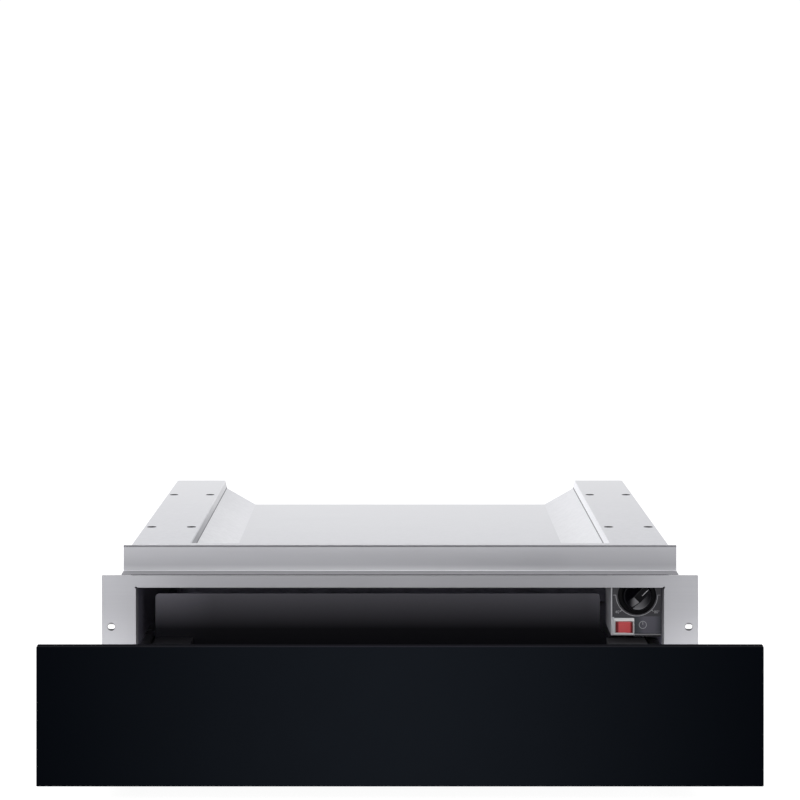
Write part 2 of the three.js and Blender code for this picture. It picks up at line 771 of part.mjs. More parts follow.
// The rear wall stops short of the control box, and steps out below it.
function drawerRearWall() {
  const r = REAR_WALL_CORNER;
  const stepZ = boxBottom + GAP;
  const shape = new THREE.Shape();
  shape.moveTo(-drawerHalf, TRAY_Z);
  shape.lineTo(drawerHalf, TRAY_Z);
  shape.lineTo(drawerHalf, DRAWER_LEDGE_Z);
  shape.lineTo(boxLeft, DRAWER_LEDGE_Z);
  shape.lineTo(wallRight, stepZ);
  shape.lineTo(wallRight, REAR_WALL_TOP - r);
  shape.absarc(wallRight - r, REAR_WALL_TOP - r, r, 0, Math.PI / 2);
  shape.lineTo(-drawerHalf + r, REAR_WALL_TOP);
  shape.absarc(-drawerHalf + r, REAR_WALL_TOP - r, r, Math.PI / 2, Math.PI);
  return alongY(shape, rearWallY, drawerBack);
}

function drawerFrontWall() {
  return block(-drawerHalf, drawerHalf, frontWallY, frontWallY + SHEET, TRAY_Z, FRONT_WALL_TOP);
}

function drawerMat() {
  const half = wellHalf - MAT_MARGIN;
  const low = wellFloor + GAP;
  const front = frontWallY + SHEET + MAT_MARGIN;
  return block(-half, half, front, rearWallY - MAT_MARGIN, low, low + MAT_T);
}

// A triangular plate against the well's wall, with a flange on the front wall.
function gusset(sign) {
  const front = frontWallY + SHEET + GAP;
  const low = wellFloor + GAP + MAT_T + GAP;
  const plate = polygon([
    [front, low],
    [front + GUSSET_D, low],
    [front + GUSSET_D, DRAWER_LEDGE_Z],
    [front + GUSSET_FOOT, GUSSET_TOP],
    [front, GUSSET_TOP],
  ]);
  const x = [sign * (wellHalf - GAP), sign * (wellHalf - GAP - SHEET)].sort((a, b) => a - b);
  const flange = [sign * (wellHalf - GAP), sign * (wellHalf - GAP - GUSSET_FOOT)].sort((a, b) => a - b);
  return join(
    alongX(plate, x[0], x[1]),
    block(flange[0], flange[1], front, front + SHEET, low, GUSSET_TOP),
  );
}

function panelBacking() {
  const front = panelFront + GLASS_T + GAP;
  const tray = block(-panelHalf, panelHalf, front, panelRear, PANEL_Z, PANEL_Z + PANEL_H);
  const hollow = block(-panelHalf + SHEET, panelHalf - SHEET, front - SHEET, panelRear - SHEET,
    PANEL_Z + SHEET, PANEL_Z + PANEL_H - SHEET);
  return cut(tray, hollow);
}

function panelGlass() {
  const outline = roundedRect(-panelHalf, panelHalf, PANEL_Z, PANEL_Z + PANEL_H, GLASS_CORNER);
  return alongY(outline, panelFront, panelFront + GLASS_T, 2);
}

function latchStrike() {
  const half = STRIKE_SIZE / 2;
  const plate = roundedRect(LATCH_X - half, LATCH_X + half, LATCH_Z - half / 2,
    LATCH_Z + half / 2, STRIKE_CORNER);
  return alongY(plate, drawerBack + GAP, closedStrike, 3);
}

function buildDrawer() {
  const drawer = new THREE.Group();
  piece(drawer, "drawer_tray", drawerTray(), DRAWER_GREY);
  piece(drawer, "drawer_rear_wall", drawerRearWall(), DRAWER_GREY);
  piece(drawer, "drawer_front_wall", drawerFrontWall(), DRAWER_GREY);
  piece(drawer, "drawer_mat", drawerMat(), RUBBER);
  piece(drawer, "panel_backing", panelBacking(), BLACK_STEEL);
  piece(drawer, "panel_glass", panelGlass(), BLACK_GLASS);
  piece(drawer, "latch_strike", latchStrike(), BRIGHT_STEEL);
  for (const { word, sign } of SIDES) {
    piece(drawer, `gusset_${word}`, gusset(sign), DRAWER_GREY);
    const levels = { lower: PANEL_Z + BUFFER_INSET_Z, upper: PANEL_Z + PANEL_H - 2 * BUFFER_INSET_Z };
    for (const [level, z] of Object.entries(levels)) {
      const height = PANEL_STANDOFF - 2 * GAP;
      const buffer = piece(drawer, `buffer_${level}_${word}`, rod(BUFFER_R, height, INWARD), RUBBER);
      buffer.position.set(sign * (flangeHalf - BUFFER_INSET_X), panelRear + GAP, z);
    }
  }
  drawer.position.y = -TRAVEL;
  return drawer;
}

// ---------------------------------------------------------------- control box

// A sheet box with an open front. Its right wall stops behind the fascia.
function controlBox() {
  const shell = block(boxLeft, boxRight, FASCIA_Y, boxBack, boxBottom, boxTop);
  const room = block(boxLeft + BOX_WALL, boxRight - BOX_WALL, FASCIA_Y - 1, boxBack - BOX_WALL,
    boxBottom + BOX_WALL, boxTop - BOX_WALL);
  const edge = block(boxRight - 2 * BOX_WALL, boxRight + 1, FASCIA_Y - 1, thermostatY,
    boxBottom + BOX_WALL, boxTop - BOX_WALL);
  const outlets = [knobX, rockerX].map((x) =>
    rod(LOOM_R + GAP, 4 * BOX_WALL, INWARD, [x, boxBack - 3 * BOX_WALL, loomZ]),
  );
  return cut(shell, room, edge, ...outlets);
}

function controlFascia() {
  const outline = polygon([
    [boxLeft + BOX_WALL + GAP, boxBottom + BOX_WALL + GAP],
    [boxRight, boxBottom + BOX_WALL + GAP],
    [boxRight, boxTop - BOX_WALL - GAP],
    [boxLeft + BOX_WALL + GAP, boxTop - BOX_WALL - GAP],
  ]);
  outline.holes.push(roundHole(knobX, knobZ, NECK_R + GAP));
  outline.holes.push(rectHole(
    rockerX - SWITCH_W / 2 - GAP, rockerX + SWITCH_W / 2 + GAP,
    rockerZ - SWITCH_H / 2 - GAP, rockerZ + SWITCH_H / 2 + GAP,
  ));
  return alongY(outline, FASCIA_Y, FASCIA_Y + FASCIA_T);
}

// A body with a neck through the fascia, bored for the spindle.
function thermostatBody() {
  const body = block(knobX - THERMOSTAT_W / 2, knobX + THERMOSTAT_W / 2, thermostatY,
    thermostatY + THERMOSTAT_D, knobZ - THERMOSTAT_H / 2, knobZ + THERMOSTAT_H / 2);
  const neck = rod(NECK_R, FASCIA_T + 2 * GAP + 1, INWARD, [knobX, FASCIA_Y - GAP, knobZ]);
  const bore = rod(SPINDLE_R + RUNNING, THERMOSTAT_D, INWARD, [knobX, FASCIA_Y - 1, knobZ]);
  return cut(join(body, neck), bore);
}

function knobSpindle() {
  const front = FASCIA_Y - NUT_CLEAR - KNOB_H / 2;
  const back = thermostatY + THERMOSTAT_D / 2;
  return rod(SPINDLE_R, back - front, INWARD, [knobX, front, knobZ]);
}

// A skirt, a dished body and a grip bar, turned to the rest mark about the spindle.
function controlKnob() {
  const skirt = rod(KNOB_R, KNOB_SKIRT, INWARD, [0, -KNOB_SKIRT, 0], 2 * ROUND);
  const body = rod(KNOB_BODY_R, KNOB_H / 2, INWARD, [0, -KNOB_H / 2, 0], 2 * ROUND);
  const grip = alongY(
    roundedRect(-GRIP_W / 2, GRIP_W / 2, -KNOB_BODY_R, KNOB_BODY_R, GRIP_W / 2 - GAP),
    -KNOB_H,
    -KNOB_SKIRT,
  );
  const bore = rod(SPINDLE_R + RUNNING, KNOB_H / 2 + 2, INWARD, [0, -KNOB_H / 2 - 1, 0]);
  const knob = cut(join(skirt, body, grip), bore);
  return knob.rotateY(THREE.MathUtils.degToRad(KNOB_REST));
}

// A bezel on the fascia and a body behind it, hollow for the rocker to swing in.
function rockerHousing() {
  const back = FASCIA_Y - GAP;
  const front = back - BEZEL_T;
  const bezel = roundedRect(-BEZEL_W / 2, BEZEL_W / 2, BEZEL_LIFT - BEZEL_H / 2,
    BEZEL_LIFT + BEZEL_H / 2, BEZEL_CORNER);
  const body = block(-SWITCH_W / 2, SWITCH_W / 2, back - 1, back + SWITCH_D,
    -SWITCH_H / 2, SWITCH_H / 2);
  const level = ROCKER_H / 2 + GAP;
  const mouth = ROCKER_W / 2 + ROCKER_SWING;
  const room = SWITCH_W / 2 - 2 * GAP;
  const housing = cut(
    join(alongY(bezel, front, back, 2), body),
    block(-mouth, mouth, front - 1, front + BEZEL_T - GAP, -level, level),
    block(-room, room, front, front + ROCKER_D + 2, -level, level),
  );
  return housing.translate(rockerX, 0, rockerZ);
}

// A shallow V in plan that rocks about an upright pin, drawn tilted to its off side.
function rockerButton() {
  const half = ROCKER_W / 2;
  const slope = half * Math.tan(THREE.MathUtils.degToRad(ROCKER_TILT));
  const plan = polygon([
    [-half, -ROCKER_PROUD - slope],
    [0, -ROCKER_PROUD],
    [half, -ROCKER_PROUD - slope],
    [half, ROCKER_D / 3],
    [half / 3, ROCKER_D - ROCKER_PROUD - slope],
    [-half / 3, ROCKER_D - ROCKER_PROUD - slope],
    [-half, ROCKER_D / 3],
  ]);
  return alongZ(plan, -ROCKER_H / 2, ROCKER_H / 2)
    .translate(0, -ROCKER_PIVOT, 0)
    .rotateZ(THREE.MathUtils.degToRad(-ROCKER_TILT));
}

// A thin tube from the thermostat through the right rail and down to the bulb.
function thermostatCapillary() {
  const rise = boxBack - BOX_WALL - RISE_CLEAR;
  const corners = [
    [knobX, thermostatY + THERMOSTAT_D + GAP, knobZ],
    [knobX, rise, knobZ],
    [knobX, rise, loomZ],
    [knobX, heaterY, loomZ],
    [knobX, heaterY, BULB_Z],
    [knobX - BULB_BEND, heaterY, BULB_Z],
  ];
  return sweep(roundedRoute(corners, CABLE_BEND), CAPILLARY_R);
}

function thermostatBulb() {
  const left = knobX - BULB_BEND - GAP - BULB_L;
  return rod(BULB_R, BULB_L, RIGHT, [left, heaterY, BULB_Z], ROUND / 2);
}

// A clip on the baffle whose bore holds the bulb.
function bulbClip() {
  const x = knobX - BULB_BEND - GAP - BULB_L / 2;
  const half = BULB_R + BULB_CLIP_T;
  const arm = block(x - half, x + half, bayY + GAP, heaterY + half, BULB_Z - half, BULB_Z + half);
  const bore = rod(BULB_R + GAP, 4 * half, RIGHT, [x - 2 * half, heaterY, BULB_Z], ROUND / 2);
  return cut(arm, bore);
}

function buildControls() {
  const controls = new THREE.Group();
  piece(controls, "control_box", controlBox(), BOX_GREY);
  piece(controls, "control_fascia", controlFascia(), FASCIA_GREY);
  piece(controls, "thermostat_body", thermostatBody(), PHENOLIC);
  piece(controls, "knob_spindle", knobSpindle(), BRIGHT_STEEL);
  const knob = piece(controls, "control_knob", controlKnob(), BLACK_PLASTIC);
  knob.position.set(knobX, FASCIA_Y - NUT_CLEAR, knobZ);
  piece(controls, "rocker_housing", rockerHousing(), PALE_PLASTIC);
  const button = piece(controls, "rocker_button", rockerButton(), RED_LENS);
  button.position.set(rockerX, FASCIA_Y - GAP - BEZEL_T + ROCKER_PIVOT, rockerZ);
  piece(controls, "thermostat_capillary", thermostatCapillary(), COPPER);
  piece(controls, "thermostat_bulb", thermostatBulb(), COPPER);
  piece(controls, "bulb_clip", bulbClip(), BRIGHT_STEEL);
  return controls;
}

// ---------------------------------------------------------------- fan and heater

// A cross-flow rotor: three discs joined by bent blades round their rim.
function fanRotor() {
  const discs = [-ROTOR_L / 2, -ROTOR_DISC_T / 2, ROTOR_L / 2 - ROTOR_DISC_T].map((x) =>
    rod(ROTOR_R, ROTOR_DISC_T, RIGHT, [x, 0, 0], ROTOR_BLADES * 2),
  );
  const blades = [];
  for (let blade = 0; blade < ROTOR_BLADES; blade += 1) {
    const flat = block(-ROTOR_L / 2 + GAP, ROTOR_L / 2 - GAP, -BLADE_T / 2, BLADE_T / 2,
      -BLADE_DEPTH / 2, BLADE_DEPTH / 2);
    flat.rotateX(Math.PI / 6).translate(0, 0, ROTOR_R - BLADE_DEPTH / 2 - GAP);
    blades.push(flat.rotateX((blade * 2 * Math.PI) / ROTOR_BLADES));
  }
  const bore = rod(SHAFT_R + RUNNING, ROTOR_L + 2, RIGHT, [-ROTOR_L / 2 - 1, 0, 0]);
  return cut(join(...discs, ...blades), bore);
}

// A rolled sheet round the rotor, open towards the baffle, between two end plates.
function fanHousing() {
  const arc = [];
  const front = -FAN_Y + GAP;
  arc.push([front, -housingR]);
  for (let step = 0; step <= 12; step += 1) {
    const angle = -Math.PI / 2 + (step * Math.PI) / 12;
    arc.push([housingR * Math.cos(angle), housingR * Math.sin(angle)]);
  }
  arc.push([front, housingR]);
  const reach = housingHalf + SHEET;
  const wrap = alongX(bentSheet(arc), -reach, reach);
  const outline = polygon(offsetLine(arc, SHEET / 2));
  outline.holes.push(roundHole(0, 0, SHAFT_R + RUNNING));
  const ends = [alongX(outline, -reach, -housingHalf), alongX(outline, housingHalf, reach)];
  return join(wrap, ...ends);
}

function fanMotor() {
  const half = MOTOR_SIZE / 2;
  const core = block(motorX, motorX + MOTOR_W, -half, half, -half, half);
  const corners = [-half, half].flatMap((y) =>
    [-half, half].map((z) => rod(MOTOR_NOTCH_R, MOTOR_W + 2, RIGHT, [motorX - 1, y, z], 8)),
  );
  const bore = rod(SHAFT_R + RUNNING, MOTOR_W, RIGHT, [motorX - 1, 0, 0]);
  return cut(core, ...corners, bore);
}

// A hairpin of sheathed element, its two ends to the left.
function heaterElement() {
  const half = HEATER_PITCH / 2;
  const corners = [
    [-HEATER_L / 2, 0, -half],
    [HEATER_L / 2 + half, 0, -half],
    [HEATER_L / 2 + half, 0, half],
    [-HEATER_L / 2, 0, half],
  ];
  return sweep(roundedRoute(corners, half - GAP / 2, 5), HEATER_R, 12);
}

// A plate that stands on the baffle and holds both runs of the heater.
function heaterBracket(sign) {
  const x = (sign * BRACKET_SPAN) / 2;
  const half = HEATER_PITCH / 2;
  const reach = HEATER_R + BRACKET_EDGE;
  const plate = new THREE.Shape([
    new THREE.Vector2(bayY + GAP, HEATER_Z - half - reach),
    new THREE.Vector2(heaterY + reach, HEATER_Z - half - reach),
    new THREE.Vector2(heaterY + reach, HEATER_Z + half + reach),
    new THREE.Vector2(bayY + GAP, HEATER_Z + half + reach),
  ]);
  for (const z of [HEATER_Z - half, HEATER_Z + half]) {
    plate.holes.push(roundHole(heaterY, z, HEATER_R + GAP));
  }
  const foot = block(Math.min(x, x + sign * BRACKET_W), Math.max(x, x + sign * BRACKET_W),
    bayY + GAP, bayY + GAP + SHEET, HEATER_Z - half - reach, HEATER_Z + half + reach);
  return join(alongX(plate, x - SHEET / 2, x + SHEET / 2), foot);
}

function buildHeating() {
  const heating = new THREE.Group();
  const fan = new THREE.Group();
  piece(fan, "fan_rotor", fanRotor(), BRIGHT_STEEL);
  const shaftLeft = -housingHalf - SHEET - 2;
  const shaftRight = motorX + MOTOR_W / 2;
  piece(fan, "fan_shaft", rod(SHAFT_R, shaftRight - shaftLeft, RIGHT, [shaftLeft, 0, 0]), BRIGHT_STEEL);
  piece(fan, "fan_housing", fanHousing(), GALVANISED);
  piece(fan, "fan_motor", fanMotor(), BLACK_STEEL);
  fan.position.set(0, fanY, FAN_Z);
  heating.add(fan);
  piece(heating, "heater_element", heaterElement(), HEATER_SHEATH).position.set(0, heaterY, HEATER_Z);
  for (const { word, sign } of SIDES) {
    piece(heating, `heater_bracket_${word}`, heaterBracket(sign), GALVANISED);
  }
  const cutout = rod(CUTOUT_R, CUTOUT_T, INWARD);
  piece(heating, "thermal_cutout", cutout, PHENOLIC).position.set(CUTOUT_X, bayY + GAP, CUTOUT_Z);
  return heating;
}

// ---------------------------------------------------------------- latch and mains side

function latchHousing() {
  const half = LATCH_SIZE / 2;
  const body = block(LATCH_X - half, LATCH_X + half, latchY, latchY + LATCH_L,
    LATCH_Z - half, LATCH_Z + half);
  const depth = plungerY + PLUNGER_L + 2 * PLUNGER_STROKE - latchY;
  const bore = rod(PLUNGER_R + RUNNING, depth + 1, INWARD, [LATCH_X, latchY - 1, LATCH_Z]);
  return cut(body, bore);
}

function terminalBlock() {
  const body = block(TERMINAL_X - TERMINAL_W / 2, TERMINAL_X + TERMINAL_W / 2,
    rearPanelY - GAP - TERMINAL_D, rearPanelY - GAP, TERMINAL_Z, TERMINAL_Z + TERMINAL_H);
  const pitch = TERMINAL_W / 4;
  const wells = [-1, 0, 1].map((way) =>
    rod(TERMINAL_BORE_R, TERMINAL_D / 2 + 1, INWARD,
      [TERMINAL_X + way * pitch, rearPanelY - GAP - TERMINAL_D - 1, TERMINAL_Z + TERMINAL_H / 2], 12),
  );
  return cut(body, ...wells);
}

// A flanged bush in the rear panel, for the mains lead.
function cableInlet() {
  const profile = [
    [INLET_BORE_R, -INLET_FLANGE - SHEET],
    [INLET_R, -INLET_FLANGE - SHEET],
    [INLET_R, GAP],
    [INLET_R + INLET_FLANGE, GAP],
    [INLET_R + INLET_FLANGE, GAP + INLET_FLANGE],
    [INLET_BORE_R, GAP + INLET_FLANGE],
    [INLET_BORE_R, -INLET_FLANGE - SHEET],
  ].map(([r, along]) => new THREE.Vector2(r, along));
  return new THREE.LatheGeometry(profile, ROUND);
}

// The wires of the control box, sleeved together, through the right rail to the terminal block.
function wiringLoom() {
  const blockTop = TERMINAL_Z + TERMINAL_H;
  const back = rearPanelY - GAP - TERMINAL_D / 2;
  const rise = boxBack - BOX_WALL - RISE_CLEAR;
  const corners = [
    [rockerX, FASCIA_Y + SWITCH_D, rockerZ],
    [rockerX, rise, rockerZ],
    [rockerX, rise, loomZ],
    [rockerX, back, loomZ],
    [rockerX, back, blockTop + LOOM_DROP],
    [TERMINAL_X, back, blockTop + LOOM_DROP],
    [TERMINAL_X, back, blockTop + GAP],
  ];
  return sweep(roundedRoute(corners, CABLE_BEND), LOOM_R);
}

// A clip on the ceiling sheet that holds the loom and the capillary side by side in the rail.
function loomClip() {
  const low = ceilingZ + SHEET + GAP;
  const margin = LOOM_R + CLIP_REACH;
  const post = block(rockerX - margin, knobX + margin, 0, CLIP_W, low, loomZ + margin);
  const bores = [
    rod(LOOM_R + GAP, CLIP_W + 2, INWARD, [rockerX, -1, loomZ], ROUND / 2),
    rod(CAPILLARY_R + GAP, CLIP_W + 2, INWARD, [knobX, -1, loomZ], ROUND / 2),
  ];
  return cut(post, ...bores);
}

function buildServices() {
  const services = new THREE.Group();
  piece(services, "latch_housing", latchHousing(), PALE_PLASTIC);
  const plunger = piece(services, "latch_plunger", rod(PLUNGER_R, PLUNGER_L, INWARD), PALE_PLASTIC);
  plunger.position.set(LATCH_X, plungerY, LATCH_Z);
  piece(services, "terminal_block", terminalBlock(), PALE_PLASTIC);
  const inlet = piece(services, "cable_inlet", cableInlet(), BLACK_PLASTIC);
  inlet.position.set(INLET_X, casingBack, INLET_Z);
  piece(services, "wiring_loom", wiringLoom(), LOOM_SLEEVE);
  const clips = { front: boxBack + CLIP_FIRST, rear: (boxBack + bayY) / 2 };
  for (const [place, y] of Object.entries(clips)) {
    piece(services, `loom_clip_${place}`, loomClip(), PALE_PLASTIC).position.y = y;
  }
  return services;
}

const warmingDrawer = new THREE.Group();
warmingDrawer.add(
  buildCasing(),
  buildSlides(),
  buildDrawer(),
  buildControls(),
  buildHeating(),
  buildServices(),
);

export default warmingDrawer;
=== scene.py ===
"""Looks of a built-in warming drawer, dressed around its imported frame.

Metres, X to the right, Y into the cabinet and Z up. The drawer is pulled out by 0.415 m.
"""

from __future__ import annotations

import logging
import math
from contextlib import contextmanager
from dataclasses import dataclass, field, replace
from enum import Enum
from typing import Callable, Iterable, Iterator

import bpy
from mathutils import Matrix, Vector


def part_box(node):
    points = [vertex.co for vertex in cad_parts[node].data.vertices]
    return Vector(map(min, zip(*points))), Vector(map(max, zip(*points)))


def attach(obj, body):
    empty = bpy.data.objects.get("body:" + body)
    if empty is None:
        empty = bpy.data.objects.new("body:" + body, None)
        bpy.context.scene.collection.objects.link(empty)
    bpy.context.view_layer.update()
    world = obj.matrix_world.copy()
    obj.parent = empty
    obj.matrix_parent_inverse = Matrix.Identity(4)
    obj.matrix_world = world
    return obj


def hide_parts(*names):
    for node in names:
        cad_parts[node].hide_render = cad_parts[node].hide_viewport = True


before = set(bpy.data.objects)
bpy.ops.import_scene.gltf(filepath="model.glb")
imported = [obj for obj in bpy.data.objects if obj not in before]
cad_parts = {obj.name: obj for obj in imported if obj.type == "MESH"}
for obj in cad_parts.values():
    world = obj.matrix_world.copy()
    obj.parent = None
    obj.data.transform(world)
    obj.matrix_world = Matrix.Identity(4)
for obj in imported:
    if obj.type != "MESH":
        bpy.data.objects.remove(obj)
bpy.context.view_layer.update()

LOG = logging.getLogger("warming_drawer")
MM = 0.001
CLOSE = 0.01 * MM  # places nearer than this are the same
MERGED = 0.001 * MM  # corners nearer than this are merged
ONE_FLAT = math.radians(0.5)  # faces that meet at less than this are one flat
SMOOTH_UNDER = math.radians(50)  # edges under this are shaded smooth
FACING = 0.97  # least part of a normal along the way that it faces
LEANING = 0.5  # the same where it only leans that way
BACKWARDS = (0.0, 1.0, 0.0)

Triple = tuple[float, float, float]
Pair = tuple[float, float]
Piece = bpy.types.Object
Tree = bpy.types.NodeTree
Node = bpy.types.Node
Socket = bpy.types.NodeSocket
Test = Callable[[Vector, Vector], bool]


class Side(Enum):
    """The two sides of the drawer, seen from the front."""

    LEFT = -1
    RIGHT = 1

    @property
    def word(self) -> str:
        """The side's word in node names."""
        return self.name.lower()


class Effect(Enum):
    """A surface effect: its node group's name, usual scale and outputs."""

    GRAINED = ("fine grain", 400.0, ("Mask", "Height"))
    SPANGLED = ("zinc spangle", 300.0, ("Mask", "Height"))
    WOVEN = ("plain weave", 900.0, ("Mask", "Height"))
    HANDLED = ("handling smears", 9.0, ("Mask",))


# ---- shader groups


def feed(tree: Tree, node: Node, inputs: dict[str | int, object]) -> None:
    """Sets a node's inputs.

    Args:
        tree: The node's tree.
        node: The node.
        inputs: For each input, by label or number, its value or the socket that feeds it.
    """
    for label, value in inputs.items():
        if isinstance(value, Socket):
            tree.links.new(value, node.inputs[label])
        else:
            node.inputs[label].default_value = value


def add(tree: Tree, kind: str, inputs: dict[str | int, object], **settings: object) -> Node:
    """Adds a shader node.

    Args:
        tree: The tree to add to.
        kind: The node's kind, such as Math.
        inputs: For each input, by label or number, its value or the socket that feeds it.
        settings: The node's own settings.

    Returns:
        The node.
    """
    node = tree.nodes.new(f"ShaderNode{kind}")
    for label, value in settings.items():
        setattr(node, label, value)
    feed(tree, node, inputs)
    return node


@dataclass
class EffectGroup:
    """A surface effect that several finishes share, as a node group built once."""

    effect: Effect
    tree: Tree = field(init=False)
    source: bpy.types.NodeOutputs = field(init=False)

    def fetch(self) -> Tree:
        """Makes the effect's group at its first use.

        Returns:
            The group's tree.
        """
        name, scale, outputs = self.effect.value
        if name in bpy.data.node_groups:
            return bpy.data.node_groups[name]
        self.tree = bpy.data.node_groups.new(name, "ShaderNodeTree")
        ports = self.tree.interface
        ports.new_socket("Vector", in_out="INPUT", socket_type="NodeSocketVector")
        size = ports.new_socket("Scale", in_out="INPUT", socket_type="NodeSocketFloat")
        size.default_value = scale
        for label in outputs:
            ports.new_socket(label, in_out="OUTPUT", socket_type="NodeSocketFloat")
        self.source = self.tree.nodes.new("NodeGroupInput").outputs
        sink = self.tree.nodes.new("NodeGroupOutput")
        made = {Effect.GRAINED: self.grain, Effect.SPANGLED: self.spangle,
                Effect.WOVEN: self.weave, Effect.HANDLED: self.handling}[self.effect]()
        feed(self.tree, sink, dict(zip(outputs, made)))
        return self.tree

    def noise(self, factor: float, detail: float, distortion: float = 0.0) -> Node:
        """Adds a noise.

        Args:
            factor: What the group's Scale is multiplied by for it.
            detail: Its octaves.
            distortion: How far it is pushed about.

        Returns:
            The noise node.
        """
        scale = add(self.tree, "Math", {0: self.source["Scale"], 1: factor}, operation="MULTIPLY")
        return add(self.tree, "TexNoise", {
            "Vector": self.source["Vector"], "Scale": scale.outputs[0], "Detail": detail,
            "Distortion": distortion})

    def grain(self) -> tuple[Socket, ...]:
        """Lays a fine noise over a coarser one.

        Returns:
            A mask of both noises, and a height of the fine one.
        """
        coarse = self.noise(0.25, 2.0).outputs["Fac"]
        fine = self.noise(1.0, 3.0).outputs["Fac"]
        half = add(self.tree, "Math", {0: coarse, 1: 0.5}, operation="MULTIPLY").outputs[0]
        blend = add(self.tree, "Math", {0: fine, 1: 0.5, 2: half}, operation="MULTIPLY_ADD")
        return blend.outputs[0], fine

    def spangle(self) -> tuple[Socket, ...]:
        """Makes the crystal flakes of a zinc coat.

        Returns:
            A tone for each flake, and a height with soft flake edges.
        """
        push = add(self.tree, "VectorMath", {
            0: self.noise(1.5, 2.0).outputs["Color"], 1: (3 * MM, 3 * MM, 3 * MM),
            2: self.source["Vector"]}, operation="MULTIPLY_ADD")
        cells = add(self.tree, "TexVoronoi", {
            "Vector": push.outputs[0], "Scale": self.source["Scale"], "Randomness": 1.0})
        grey = add(self.tree, "RGBToBW", {0: cells.outputs["Color"]})
        return grey.outputs[0], cells.outputs["Distance"]

    def weave(self) -> tuple[Socket, ...]:
        """Crosses two waves, as in a woven sleeve.

        Returns:
            The mask and the height, which are the same.
        """
        waves = [add(self.tree, "TexWave", {
            "Vector": self.source["Vector"], "Scale": self.source["Scale"],
            "Distortion": 0.6}, bands_direction=way).outputs["Fac"] for way in "XZ"]
        over = add(self.tree, "Math", dict(enumerate(waves)), operation="MULTIPLY").outputs[0]
        return over, over

    def handling(self) -> tuple[Socket, ...]:
        """Makes broad soft smears, where a surface has been handled, wiped or rolled.

        Returns:
            The mask of the smears.
        """
        smear = self.noise(1.0, 4.0, 0.8).outputs["Fac"]
        spread = add(self.tree, "MapRange", {"Value": smear, "From Min": 0.3, "From Max": 0.7})
        return (spread.outputs["Result"],)


# ---- finishes


@dataclass(frozen=True)
class Finish:
    """One finish: its two tones, its gloss, its fine relief and a glow, which paints light onto a
    piece.
    """

    name: str
    color: Triple
    roughness: float
    metallic: float = 0.0
    specular: float = 0.5
    tone: float = 0.06
    smear: float = 0.05
    effect: Effect = Effect.GRAINED
    scale: float = 500.0
    stretch: Triple = (1.0, 1.0, 1.0)
    relief: float = 0.05
    glow: float = 0.0

    def again(self, name: str, color: Triple, **changes: object) -> Finish:
        """Returns this finish with another name and colour, and with the given changes."""
        return replace(self, name=name, color=color, **changes)

    def paint(self, tree: Tree, mask: Socket) -> Socket:
        """Adds the colour, from a darker to a lighter tone.

        Args:
            tree: The material's tree.
            mask: The mask of the fine pattern.

        Returns:
            The socket that carries the colour.
        """
        low = [max(c * (1 - self.tone), 0.0) for c in self.color]
        high = [min(c * (1 + self.tone), 1.0) for c in self.color]
        return add(tree, "Mix", {0: mask, 6: (*low, 1.0), 7: (*high, 1.0)},
                   data_type="RGBA").outputs[2]

    def material(self) -> bpy.types.Material:
        """Makes the material at its first use, with both its patterns on Object coordinates.

        Returns:
            The material of this finish.
        """
        label = f"{self.name}_finish"
        if label in bpy.data.materials:
            return bpy.data.materials[label]
        made = bpy.data.materials.new(label)
        made.use_nodes = True
        tree = made.node_tree
        place = add(tree, "TexCoord", {}).outputs["Object"]
        turn = add(tree, "Mapping", {"Vector": place, "Scale": self.stretch}).outputs["Vector"]
        fine = add(tree, "Group", {"Vector": turn, "Scale": self.scale},
                   node_tree=EffectGroup(self.effect).fetch()).outputs
        broad = add(tree, "Group", {"Vector": place},
                    node_tree=EffectGroup(Effect.HANDLED).fetch()).outputs
        gloss = add(tree, "MapRange", {
            "Value": broad["Mask"], "To Min": max(self.roughness - self.smear, 0.02),
            "To Max": min(self.roughness + self.smear, 1.0)})
        bump = add(tree, "Bump", {
            "Strength": self.relief, "Distance": 0.5 * MM, "Height": fine["Height"]})
        colour = self.paint(tree, fine["Mask"])
        shader = tree.nodes["Principled BSDF"]
        feed(tree, shader, {
            "Base Color": colour, "Metallic": self.metallic,
            "Specular IOR Level": self.specular, "Roughness": gloss.outputs["Result"],
            "Normal": bump.outputs["Normal"]})
        if self.glow:
            feed(tree, shader, {"Emission Strength": self.glow, "Emission Color": colour})
        return made


